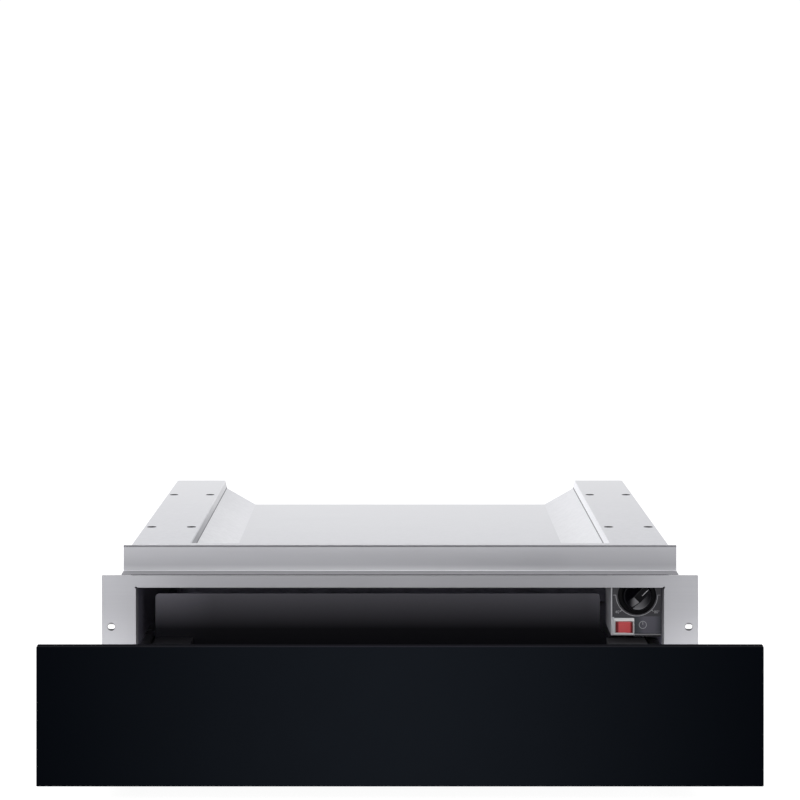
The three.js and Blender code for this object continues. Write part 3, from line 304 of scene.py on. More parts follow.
@dataclass(frozen=True)
class BandedFinish(Finish):
    """A finish whose colour fades across the piece, from its middle to its two ends.

    It paints light and shade onto the piece, and its rims, to the left and the right, can be
    lighter, as painted light.
    """

    end_color: Triple = (0.0, 0.0, 0.0)
    across: str = "X"
    even: bool = False
    middle: float = 0.0
    flat_half: float = 0.0
    reach: float = 0.3
    rim_half: float = 0.0
    rim_reach: float = 0.0
    rim_gain: float = 0.0

    def paint(self, tree: Tree, mask: Socket) -> Socket:
        """Adds the colour, which fades along one axis.

        Args:
            tree: The material's tree.
            mask: The mask of the fine pattern.

        Returns:
            The socket that carries the colour.
        """
        place = add(tree, "TexCoord", {}).outputs["Object"]
        axes = add(tree, "SeparateXYZ", {0: place}).outputs
        shift = add(tree, "Math", {0: axes[self.across], 1: self.middle}, operation="SUBTRACT")
        away = add(tree, "Math", {0: shift.outputs[0]}, operation="ABSOLUTE").outputs[0]
        fade = add(tree, "MapRange", {
            "Value": away, "From Min": self.flat_half, "From Max": self.reach},
            interpolation_type="LINEAR" if self.even else "SMOOTHSTEP").outputs["Result"]
        mix = add(tree, "Mix", {0: fade, 6: super().paint(tree, mask), 7: (*self.end_color, 1.0)},
                  data_type="RGBA").outputs[2]
        if not self.rim_gain:
            return mix
        side = add(tree, "Math", {0: axes["X"]}, operation="ABSOLUTE").outputs[0]
        rise = add(tree, "MapRange", {
            "Value": side, "From Min": self.rim_half, "From Max": self.rim_reach,
            "To Min": 1.0, "To Max": 1.0 + self.rim_gain}).outputs["Result"]
        return add(tree, "VectorMath", {0: mix, "Scale": rise}, operation="SCALE").outputs[0]


ZINC_SIDE = Finish(
    "zinc_side", (0.62, 0.62, 0.642), 0.42, 1.0, tone=0.035, effect=Effect.SPANGLED, scale=260.0,
    relief=0.02)
# A lighter copy of the side zinc, tinted on the cover's slopes: painted light.
LIT_SLOPE = ZINC_SIDE.again("zinc_slope_painted_light", (0.845, 0.845, 0.865))
# The zinc grows lighter towards the back: painted light.
ZINC_PAINTED_LIGHT = BandedFinish(
    "zinc_sheet_painted_light", (0.70, 0.70, 0.724), 0.42, 1.0, tone=0.035, effect=Effect.SPANGLED, scale=260.0,
    relief=0.02, end_color=(0.81, 0.81, 0.825), across="Y", even=True, middle=0.03, reach=0.5)
# A lit copy of the zinc for the right step: painted light.
LIT_STEP = Finish(
    "zinc_step_painted_light", (0.88, 0.88, 0.905), 0.5, 1.0, tone=0.03, scale=900.0, relief=0.02)
# A dark line at the foot of each step: painted shade.
STEP_FOOT_SHADE = LIT_STEP.again("zinc_step_foot_painted_shade", (0.25, 0.25, 0.262))
# A shaded copy of the zinc for the left step, lighter towards the back: painted shade and light.
SHADED_STEP = ZINC_PAINTED_LIGHT.again(
    "zinc_step_shaded", (0.40, 0.40, 0.42), roughness=0.5, tone=0.03, effect=Effect.GRAINED,
    scale=900.0, end_color=(0.80, 0.80, 0.82))
# The frame's steel grows lighter towards its bottom and its sides: painted light.
STAINLESS_PAINTED_LIGHT = BandedFinish(
    "satin_stainless_painted_light", (0.306, 0.305, 0.323), 0.38, 0.3, specular=0.3, tone=0.05, scale=2200.0,
    stretch=(0.012, 1.0, 1.0), relief=0.04, end_color=(0.53, 0.529, 0.555), across="Z",
    middle=0.108, flat_half=0.012, reach=0.080, rim_half=0.20, rim_reach=0.285, rim_gain=0.18)
# The upstand's steel is lighter near its foot and darker upwards: painted light.
LEDGE_STEEL_PAINTED_LIGHT = STAINLESS_PAINTED_LIGHT.again(
    "ledge_stainless_painted_light", (0.405, 0.405, 0.425), end_color=(0.308, 0.308, 0.326), middle=0.1143,
    flat_half=0.0005, reach=0.0068, rim_gain=0.0)
# A dull dark copy of the steel on the ledge's top: painted shade.
LEDGE_TOP_SHADE = Finish(
    "ledge_top_painted_shade", (0.344, 0.341, 0.360), 0.6, specular=0.1, tone=0.03, scale=1500.0, relief=0.0)
# A pale dull colour on the fillet, darker towards its ends: painted highlight.
FILLET_HIGHLIGHT = BandedFinish(
    "ledge_fillet_painted_highlight", (0.665, 0.663, 0.685), 0.7, specular=0.05, tone=0.02, scale=1500.0, relief=0.0,
    end_color=(0.58, 0.578, 0.60), reach=0.22)
SHADED_STEEL = Finish(
    "shaded_edge", (0.172, 0.170, 0.184), 0.5, 0.3, specular=0.2, scale=1500.0, relief=0.03)
# Dark in the dimple around each fixing slot, lighter above and below: painted shade.
DIMPLE_SHADE = BandedFinish(
    "shaded_dimple", (0.07, 0.069, 0.075), 0.5, 0.3, specular=0.2, scale=1500.0, relief=0.03,
    end_color=(0.24, 0.238, 0.25), across="Z", middle=0.0578, flat_half=0.0025, reach=0.007)
# Near black, for the walls and rims of the cover's holes and the nuts seen through them: painted
# shade.
HOLE_SHADE = Finish(
    "hole_painted_shade", (0.012, 0.0115, 0.0145), 0.6, specular=0.0, scale=1500.0, relief=0.03)
ENAMEL = Finish("liner_enamel", (0.28, 0.27, 0.36), 0.45, specular=0.3, scale=700.0, relief=0.04)
SHADED_ENAMEL = ENAMEL.again("liner_enamel_shaded", (0.20, 0.193, 0.245), specular=0.2)
# The drawer's paint grows lighter towards its right end: painted light.
DRAWER_PAINT_LIT_RIGHT = BandedFinish(
    "drawer_paint", (0.036, 0.035, 0.041), 0.45, specular=0.3, scale=1300.0,
    end_color=(0.17, 0.167, 0.182), middle=-0.25, flat_half=0.40, reach=0.50)
# The rear wall's paint darkens towards its bottom and lightens towards its sides: painted shade and
# light.
WALL_LIGHT_AND_SHADE = BandedFinish(
    "rear_wall_painted_shade_and_light", (0.094, 0.091, 0.106), 0.45, specular=0.08, scale=1300.0,
    end_color=(0.003, 0.003, 0.005), across="Z", even=True, middle=0.0848, reach=0.036,
    rim_half=0.19, rim_reach=0.25, rim_gain=0.9)
# The glass is lighter in the middle and darker towards its ends: painted reflection.
BLACK_GLASS_REFLECTION = BandedFinish(
    "black_glass", (0.0042, 0.0054, 0.0076), 0.05, specular=0.015, tone=0.1, smear=0.02, scale=30.0,
    relief=0.0, end_color=(0.0001, 0.0005, 0.0014), reach=0.37)
# The glass's dull ground edge; its darkening towards the ends is painted shade.
GROUND_EDGE = BandedFinish(
    "ground_glass_edge", (0.018, 0.0176, 0.023), 0.8, specular=0.0, scale=1500.0,
    end_color=(0.013, 0.013, 0.015), reach=0.29)
BLACK_STEEL = Finish(
    "black_powder_coat", (0.008, 0.008, 0.010), 0.8, specular=0.0, scale=1600.0, relief=0.12)
# A darker, duller copy of the knob's plastic on the skirt and the grip's front: painted shade.
KNOB_SHADE_PLASTIC = Finish(
    "knob_painted_shade", (0.0018, 0.0018, 0.0026), 0.5, specular=0.06, scale=2600.0, relief=0.03)
BLACK_PLASTIC = Finish(
    "knob_plastic", (0.0022, 0.0021, 0.0036), 0.34, specular=0.09, scale=2600.0, relief=0.02)
LIT_FACET = BandedFinish(
    "knob_lit_facet", (0.23, 0.23, 0.24), 0.45, specular=0.2, scale=2600.0, relief=0.02,
    end_color=(0.004, 0.004, 0.006), middle=0.2372, flat_half=0.002, reach=0.0085)
LIT_DISH = LIT_FACET.again(
    "knob_lit_dish", (0.18, 0.18, 0.19), roughness=0.42, specular=0.15,
    end_color=(0.006, 0.006, 0.008), middle=0.2368, flat_half=0.0012, reach=0.0130)
FASCIA = Finish(
    "fascia_plastic", (0.041, 0.040, 0.047), 0.5, specular=0.3, scale=3000.0, relief=0.06)
# A lighter patch on the fascia, darker towards its ends: painted light and shade.
FASCIA_LIGHT_PATCH = BandedFinish(
    "fascia_lit_zone", (0.080, 0.077, 0.100), 0.4, specular=0.4, scale=2500.0, relief=0.03,
    end_color=(0.026, 0.032, 0.040), middle=0.2497, flat_half=0.004, reach=0.014)
BOX_PAINT = Finish("box_paint", (0.52, 0.518, 0.54), 0.45, 0.2, scale=1400.0, relief=0.06)
# A lighter copy of the box's paint for its left side: painted light.
BOX_SIDE_LIT = BOX_PAINT.again("box_side_painted_light", (0.84, 0.835, 0.88))
PALE_PLASTIC = Finish("pale_plastic", (0.74, 0.75, 0.76), 0.42, scale=2400.0, relief=0.04)
DULL_PLASTIC = PALE_PLASTIC.again("dull_plastic", (0.58, 0.59, 0.61), roughness=0.5)
# A dark strip along the fascia's lower edge.
LIP_DARK_STRIP = Finish("box_lip_dark", (0.02, 0.02, 0.024), 0.5, scale=1400.0, relief=0.03)
# The red lens darkens towards its two ends, painted shade, and glows faintly, painted light.
RED_LENS_PAINTED_LIGHT_AND_SHADE = BandedFinish(
    "red_lens", (0.50, 0.066, 0.073), 0.25, scale=900.0, relief=0.03,
    end_color=(0.12, 0.0015, 0.004), middle=0.22435, flat_half=0.00525, reach=0.00675, glow=0.12)
RUBBER = Finish(
    "black_rubber", (0.016, 0.016, 0.017), 0.85, specular=0.25, scale=1800.0, relief=0.15)
FELT = Finish(
    "mineral_felt", (0.72, 0.70, 0.64), 0.95, specular=0.1, tone=0.15, scale=900.0, relief=0.6)
BRIGHT_STEEL = Finish(
    "bright_steel", (0.60, 0.61, 0.625), 0.26, 1.0, scale=1500.0, stretch=(1.0, 0.03, 1.0),
    relief=0.03)
COPPER = Finish("drawn_copper", (0.62, 0.30, 0.17), 0.32, 1.0, tone=0.12, scale=900.0, relief=0.03)
HEATER_SHEATH = Finish("heater_sheath", (0.22, 0.21, 0.205), 0.5, 1.0, tone=0.2, scale=300.0)
PHENOLIC = Finish("phenolic", (0.030, 0.021, 0.017), 0.55, scale=1100.0, relief=0.08)
LOOM_SLEEVE = Finish(
    "loom_sleeve", (0.24, 0.25, 0.26), 0.8, tone=0.35, effect=Effect.WOVEN, scale=420.0, relief=0.5)
MARK_PAINT = Finish("scale_print", (0.34, 0.34, 0.36), 0.5, tone=0.04, scale=3000.0, relief=0.02)
POINTER_PAINT = MARK_PAINT.again("pointer_print", (0.44, 0.44, 0.46))


# ---- modelling bench


class Bench:
    """Modelling steps that every sub-assembly uses."""

    @staticmethod
    def take(*pieces: Piece) -> None:
        """Selects only the given pieces, and makes the first one active.

        Args:
            pieces: The pieces.
        """
        bpy.ops.object.select_all(action="DESELECT")
        for each in pieces:
            each.select_set(True)
        bpy.context.view_layer.objects.active = pieces[0]

    @staticmethod
    @contextmanager
    def editing(everything: bool = True) -> Iterator[None]:
        """Keeps the active piece in edit mode for a while.

        Args:
            everything: Whether all of it is selected first.

        Returns:
            The context manager.
        """
        bpy.ops.object.mode_set(mode="EDIT")
        if everything:
            bpy.ops.mesh.select_all(action="SELECT")
        yield
        bpy.ops.object.mode_set(mode="OBJECT")

    @staticmethod
    def settle(name: str) -> Piece:
        """Names the primitive just added and moves its place into its mesh.

        Args:
            name: The piece's name.

        Returns:
            The piece.
        """
        made = bpy.context.view_layer.objects.active
        made.name = made.data.name = name
        bpy.ops.object.transform_apply(location=True, rotation=True, scale=True)
        return made

    @classmethod
    def block(cls, name: str, low: Triple, high: Triple) -> Piece:
        """Adds a block between two corners.

        Args:
            name: The piece's name.
            low: Its lowest corner.
            high: Its highest corner.

        Returns:
            The block.
        """
        bpy.ops.object.select_all(action="DESELECT")
        a, b = Vector(low), Vector(high)
        bpy.ops.mesh.primitive_cube_add(size=1, location=(a + b) / 2, scale=b - a)
        return cls.settle(name)

    @classmethod
    def turned(cls, name: str, radius: float, start: Triple, end: Triple, sides: int,
               steps: Iterable[Pair] = ()) -> Piece:
        """Turns a round piece: a bar whose far end can be inset and raised in steps.

        Args:
            name: The piece's name.
            radius: The bar's radius.
            start: The middle of the end that stays flat.
            end: The middle of the end that is shaped.
            sides: How many sides it has.
            steps: For each ring, how far it goes inwards and how far it rises.

        Returns:
            The turned piece.
        """
        bpy.ops.object.select_all(action="DESELECT")
        a, b = Vector(start), Vector(end)
        way = (b - a).normalized()
        turn = (b - a).to_track_quat("Z", "Y").to_euler()
        bpy.ops.mesh.primitive_cylinder_add(vertices=sides, radius=radius, depth=(b - a).length,
                                            location=(a + b) / 2, rotation=turn)
        made = cls.settle(name)
        if steps:
            cls.pick(made, lambda centre, normal: normal.dot(way) > FACING)
            with cls.editing(everything=False):
                for inwards, rise in steps:
                    bpy.ops.mesh.inset(thickness=inwards, depth=rise)
        return made

    @classmethod
    def pick(cls, piece: Piece, wanted: Test, edges: bool = False) -> None:
        """Selects a piece's faces by centre and normal, or its edges by their two ends.

        Args:
            piece: The piece, which is taken first.
            wanted: Says from the two vectors whether one of them is wanted.
            edges: Whether edges are picked.
        """
        cls.take(piece)
        bpy.context.tool_settings.mesh_select_mode = (False, edges, not edges)
        mesh = piece.data
        for parts in (mesh.vertices, mesh.edges, mesh.polygons):
            parts.foreach_set("select", [False] * len(parts))
        if edges:
            mesh.edges.foreach_set("select", [
                wanted(*(mesh.vertices[end].co for end in edge.vertices)) for edge in mesh.edges])
        else:
            mesh.polygons.foreach_set("select", [
                wanted(face.center, face.normal) for face in mesh.polygons])

    @classmethod
    def round_edges(cls, piece: Piece, width: float, segments: int, wanted: Test) -> None:
        """Rounds some edges of a piece.

        Args:
            piece: The piece.
            width: Width of the rounding.
            segments: Faces across the rounding.
            wanted: Says from an edge's two ends whether it is one of them.
        """
        cls.pick(piece, wanted, edges=True)
        with cls.editing(everything=False):
            bpy.ops.mesh.bevel(offset=width, segments=segments, affect="EDGES")

    @classmethod
    def split(cls, piece: Piece, *levels: float) -> None:
        """Cuts a piece's faces in two along level lines, and keeps both sides.

        Args:
            piece: The piece.
            levels: The heights of the lines.
        """
        for z in levels:
            cls.take(piece)
            with cls.editing():
                bpy.ops.mesh.bisect(plane_co=(0, 0, z), plane_no=(0, 0, 1))

    @classmethod
    def carve(cls, piece: Piece, tool: Piece) -> None:
        """Cuts a tool out of a piece, and removes the tool.

        Args:
            piece: The piece to cut.
            tool: The shape that is cut away.
        """
        cls.take(piece)
        cut = piece.modifiers.new("cut", "BOOLEAN")
        cut.operation = "DIFFERENCE"
        cut.solver = "EXACT"
        cut.object = tool
        bpy.ops.object.modifier_apply(modifier=cut.name)
        bpy.data.meshes.remove(tool.data)

    @classmethod
    def soften(cls, piece: Piece, width: float = 0.0, segments: int = 2,
               angle: float = 30.0) -> Piece:
        """Rounds every sharp edge, and shades flat faces flat and rounded ones smooth.

        Args:
            piece: The piece to finish.
            width: Width of the rounding. With none, the edges stay sharp.
            segments: Faces across the rounding.
            angle: Edges under this many degrees stay as they are.

        Returns:
            The piece.
        """
        cls.take(piece)
        if width:
            edge = piece.modifiers.new("soft edges", "BEVEL")
            edge.width = width
            edge.segments = segments
            edge.limit_method = "ANGLE"
            edge.angle_limit = math.radians(angle)
            bpy.ops.object.modifier_apply(modifier=edge.name)
        bpy.ops.object.shade_smooth_by_angle(angle=SMOOTH_UNDER)
        flat = piece.modifiers.new("flat faces", "WEIGHTED_NORMAL")
        flat.weight = 100
        flat.keep_sharp = True
        bpy.ops.object.modifier_apply(modifier=flat.name)
        return piece

    @classmethod
    def cast(cls, node: str, whole: bool = True) -> Piece:
        """Copies a CAD node's shape into a new piece, with its doubles merged.

        Args:
            node: The CAD node.
            whole: Whether each flat becomes one face, which suits flats without many holes.

        Returns:
            The new piece, not yet dressed.
        """
        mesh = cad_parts[node].data.copy()
        mesh.materials.clear()
        piece = bpy.data.objects.new(f"{node}_finished", mesh)
        bpy.context.scene.collection.objects.link(piece)
        cls.take(piece)
        bpy.ops.mesh.customdata_custom_splitnormals_clear()
        with cls.editing():
            bpy.ops.mesh.remove_doubles(threshold=MERGED)
            if whole:
                bpy.ops.mesh.dissolve_limited(angle_limit=ONE_FLAT)
        return piece

    @classmethod
    def join(cls, *pieces: Piece) -> Piece:
        """Joins pieces into the first one.

        Args:
            pieces: The pieces.

        Returns:
            The first one.
        """
        cls.take(*pieces)
        if len(pieces) > 1:
            bpy.ops.object.join()
        return pieces[0]

    @classmethod
    def copies(cls, model: Piece, name: str, places: Iterable[Matrix]) -> Piece:
        """Copies a model to each place and joins the copies.

        Args:
            model: The piece to copy. It is removed.
            name: The joined piece's name.
            places: Where the copies go.

        Returns:
            The joined piece.
        """
        made = []
        for place in places:
            mesh = model.data.copy()
            mesh.transform(place)
            made.append(bpy.data.objects.new(name, mesh))
            bpy.context.scene.collection.objects.link(made[-1])
        bpy.data.meshes.remove(model.data)
        return cls.join(*made)

    @staticmethod
    def dress(piece: Piece, body: str, finish: Finish, slot: str, *nodes: str) -> Piece:
        """Gives a piece its finish and body, and hides the CAD nodes it stands for.

        Args:
            piece: The finished piece.
            body: The CAD body it rides on.
            finish: Its finish.
            slot: The record's material slot. It is not used.
            nodes: The CAD nodes it replaces.

        Returns:
            The piece.
        """
        piece.data.materials.clear()
        piece.data.materials.append(finish.material())
        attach(piece, body)
        if nodes:
            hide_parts(*nodes)
        LOG.info("%s on %s: %d faces", piece.name, body, len(piece.data.polygons))
        return piece

    @staticmethod
    def tint(piece: Piece, finish: Finish, wanted: Test) -> None:
        """Gives some faces of a dressed piece a finish of their own.

        Args:
            piece: The dressed piece.
            finish: The faces' finish.
            wanted: Says from a face's centre and normal whether it is one of them.
        """
        piece.data.materials.append(finish.material())
        index = len(piece.data.materials) - 1
        for face in piece.data.polygons:
            if wanted(face.center, face.normal):
                face.material_index = index

    @classmethod
    def sheet(cls, node: str, body: str, finish: Finish, slot: str,
              width: float = 0.25 * MM) -> Piece:
        """Gives a CAD sheet soft edges and its finish.

        Args:
            node: The CAD node.
            body: The body it rides on.
            finish: Its finish.
            slot: The record's material slot.
            width: Width of its rounded edges.

        Returns:
            The finished piece.
        """
        return cls.dress(cls.soften(cls.cast(node), width), body, finish, slot, node)

    @staticmethod
    def bare(finish: Finish, *nodes: str) -> None:
        """Gives CAD nodes that keep their own shape a finish.

        Args:
            finish: The finish.
            nodes: The nodes.
        """
        for node in nodes:
            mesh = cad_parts[node].data
            mesh.materials.clear()
            mesh.materials.append(finish.material())
            LOG.info("%s keeps its shape", node)


@dataclass
class PanHeadScrew:
    """A small cross-recessed screw head, modelled once and copied.

    Each step of its crown is in tenths of the radius inwards and in parts of the rise upwards.
    """

    radius: float = 3.4 * MM
    rise: float = 0.9 * MM
    slot_width: float = 0.9 * MM
    slot_reach: float = 1.9 * MM
    sunk: float = 0.2 * MM
    crown: tuple[Pair, ...] = ((1.5, 0.5), (2.6, 0.35), (2.6, 0.1))
    spin: float = 0.7

    def model(self) -> Piece:
        """Makes one head at the origin, facing +Z.

        Returns:
            The head.
        """
        steps = [(self.radius / 10 * inwards, self.rise * up) for inwards, up in self.crown]
        head = Bench.turned("screw", self.radius, (0, 0, -self.sunk), (0, 0, self.rise), 20, steps)
        half, floor, top = self.slot_width / 2, self.rise + 0.1 * MM, self.rise + 2 * MM
        for x, y in ((self.slot_reach, half), (half, self.slot_reach)):
            Bench.carve(head, Bench.block("recess", (-x, -y, floor), (x, y, top)))
        return Bench.soften(head)

    def place(self, name: str, spots: Iterable[tuple[Triple, Triple]], body: str) -> None:
        """Puts a head on each spot.

        Args:
            name: The joined piece's name.
            spots: A point on a surface and the way out of it, for each head.
            body: The body that the heads ride on.
        """
        places = []
        for index, (point, way) in enumerate(spots):
            turn = Vector(way).to_track_quat("Z", "Y").to_matrix().to_4x4()
            spin = Matrix.Rotation(self.spin * index, 4, "Z")
            places.append(Matrix.Translation(point) @ turn @ spin)
        heads = Bench.copies(self.model(), name, places)
        Bench.dress(heads, body, BRIGHT_STEEL, "bright_steel")


# ---- sub-assemblies


@dataclass
class Casing:
    """The sheet casing with its front frame, liner and top cover.

    The heights of a rail's step are those of its foot, its two lines and its top.
    """

    body: str = "casing"
    lip_z: float = 0.134
    side_x: float = 0.2672
    lip_out: float = 1.3 * MM
    slide_z: float = 0.024
    back_y: float = 0.530
    lip_screws: tuple[float, ...] = (0.075, 0.205, 0.335, 0.480)
    slide_screws: tuple[float, ...] = (0.060, 0.185, 0.310, 0.440)
    back_screws: tuple[Pair, ...] = (
        (-0.255, 0.014), (-0.255, 0.122), (-0.150, 0.014), (0.0, 0.014), (0.150, 0.014),
        (0.255, 0.122), (-0.120, 0.100), (0.120, 0.100), (0.0, 0.100))
    hole_x: Pair = (0.2611, 0.2193)
    hole_y: Pair = (0.1435, 0.399)
    hole_radius: float = 5.0 * MM
    nut_radius: float = 6.2 * MM
    nut_drop: float = 3.4 * MM
    nut_height: float = 2.2 * MM
    nut_bore: tuple[Pair, ...] = ((2.4 * MM, 0.0), (0.2 * MM, -1.0 * MM))
    step_x: Pair = (0.2, 0.2114)
    step_z: tuple[float, ...] = (0.1303, 0.1322, 0.1381, 0.1400)
    fixing: Pair = (0.2866, 0.0619)
    dimple_radius: float = 4.1 * MM
    window_x: float = 0.262
    window_y: float = -1.0 * MM
    bend: float = 0.5 * MM
    ledge_z: float = 0.1143
    upstand_y: float = 0.018
    fillet: float = 0.9 * MM
    shadow_line_z: Pair = (0.1381, 0.1395)

    def sheets(self) -> None:
        """Finishes the sheets."""
        for node in ("base_plate", "side_panel_left", "side_panel_right", "rear_panel"):
            Bench.sheet(node, self.body, ZINC_SIDE, "galvanised")
        for node in ("liner_right", "liner_ceiling", "rear_baffle"):
            Bench.sheet(node, self.body, ENAMEL, "liner_enamel")
        Bench.sheet("liner_left", self.body, SHADED_ENAMEL, "liner_enamel")
        Bench.bare(FELT, "insulation_mat")

    def cover(self) -> None:
        """Finishes the top cover, with painted shade in and around its holes, a captive nut under
        each as dark as that shade, and painted light and shade on its steps and slopes.
        """
        piece = Bench.soften(Bench.cast("top_cover", whole=False))
        Bench.dress(piece, self.body, ZINC_PAINTED_LIGHT, "galvanised", "top_cover")
        spots = [Vector((side.value * x, y))
                 for side in Side for x in self.hole_x for y in self.hole_y]
        around = self.hole_radius + 1 * MM
        # Faces in and around each hole get painted shade.
        Bench.tint(piece, HOLE_SHADE, lambda centre, normal: abs(normal.z) < FACING and (
            min((centre.xy - spot).length for spot in spots) < around))
        foot, line, crest, top = self.step_z
        Bench.split(piece, line, crest)
        inner, outer = self.step_x
        left, right = Side.LEFT.value, Side.RIGHT.value
        # The left step gets painted shade, the right step painted light and both feet a painted
        # shadow line.
        for finish, sides, low, high in ((SHADED_STEP, (left,), line, crest),
                                         (LIT_STEP, (right,), line, top),
                                         (STEP_FOOT_SHADE, (left, right), foot, line)):
            Bench.tint(piece, finish, lambda centre, normal: low < centre.z < high and any(
                normal.x * side < -LEANING and inner < centre.x * side < outer for side in sides))
        # The slopes get the lighter zinc: painted light.
        Bench.tint(piece, LIT_SLOPE,
                   lambda centre, normal: normal.z > LEANING and 0.15 < abs(normal.x) < LEANING)
        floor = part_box("top_cover")[1].z - self.nut_drop
        nut = Bench.turned("nut", self.nut_radius, (0, 0, floor), (0, 0, floor + self.nut_height),
                           24, self.nut_bore)
        places = [Matrix.Translation((spot.x, spot.y, 0)) for spot in spots]
        # The nuts are as dark as the hole walls: painted shade seen through the holes.
        Bench.dress(Bench.copies(nut, "captive_nuts", places), self.body, HOLE_SHADE, "bright_steel")

    def front(self) -> None:
        """Finishes the front frame, with bent window sides, painted light towards its bottom and
        sides, and painted shade in its dimples.
        """

        def bent(a: Vector, b: Vector) -> bool:
            """Says from its ends whether an edge is an upright one at the window's front."""
            return abs(a.z - b.z) > 0.05 and all(
                abs(abs(c.x) - self.window_x) < CLOSE and abs(c.y - self.window_y) < CLOSE
                for c in (a, b))

        def dimpled(centre: Vector, normal: Vector) -> bool:
            """Says whether a face is in the hollow around a fixing slot."""
            off = Vector((abs(centre.x) - self.fixing[0], centre.z - self.fixing[1]))
            return off.length < self.dimple_radius and -0.96 * MM < centre.y < -0.1 * MM

        piece = Bench.cast("front_frame")
        Bench.round_edges(piece, self.bend, 3, bent)
        Bench.dress(Bench.soften(piece), self.body, STAINLESS_PAINTED_LIGHT, "stainless", "front_frame")
        # The dimples get painted shade.
        Bench.tint(piece, DIMPLE_SHADE, dimpled)

    def ledge(self) -> None:
        """Finishes the ledge: a fillet behind with a painted highlight, painted light on the
        upstand near its foot, painted shade on its top and its front edge, and a painted shadow
        line near the top.
        """
        piece = Bench.cast("ledge_strip")
        Bench.round_edges(piece, self.fillet, 4, lambda a, b: all(
            abs(c.y - self.upstand_y) < CLOSE and abs(c.z - self.ledge_z) < CLOSE
            for c in (a, b)))
        Bench.soften(piece, 0.2 * MM)
        Bench.split(piece, *self.shadow_line_z)
        Bench.dress(piece, self.body, LEDGE_STEEL_PAINTED_LIGHT, "stainless", "ledge_strip")
        foot, (low, high) = self.ledge_z, self.shadow_line_z
        just_over = foot + 0.1 * MM
        # The ledge's top gets painted shade.
        Bench.tint(piece, LEDGE_TOP_SHADE,
                   lambda centre, normal: normal.z > 0.9 and centre.z < just_over)
        # The fillet gets a painted highlight.
        Bench.tint(piece, FILLET_HIGHLIGHT, lambda centre, normal: 0.05 < normal.z < 0.995 and (
            foot < centre.z < foot + 1 * MM and centre.y > 5 * MM))
        # A painted shadow line near the top, and painted shade on the front edge.
        Bench.tint(piece, SHADED_STEEL, lambda centre, normal: normal.y < -LEANING and (
            low < centre.z < high or centre.z < just_over))

    def screws(self) -> None:
        """Puts the screws in the sides and the back."""
        sides = []
        for side in Side:
            out = (float(side.value), 0.0, 0.0)
            sides += [((side.value * (self.side_x + self.lip_out), y, self.lip_z), out)
                      for y in self.lip_screws]
            sides += [((side.value * self.side_x, y, self.slide_z), out)
                      for y in self.slide_screws]
        PanHeadScrew().place("side_screws", sides, self.body)
        back = [((x, self.back_y, z), BACKWARDS) for x, z in self.back_screws]
        PanHeadScrew().place("back_screws", back, self.body)

    def build(self) -> None:
        """Builds the casing."""
        self.sheets()
        self.cover()
        self.front()
        self.ledge()
        self.screws()


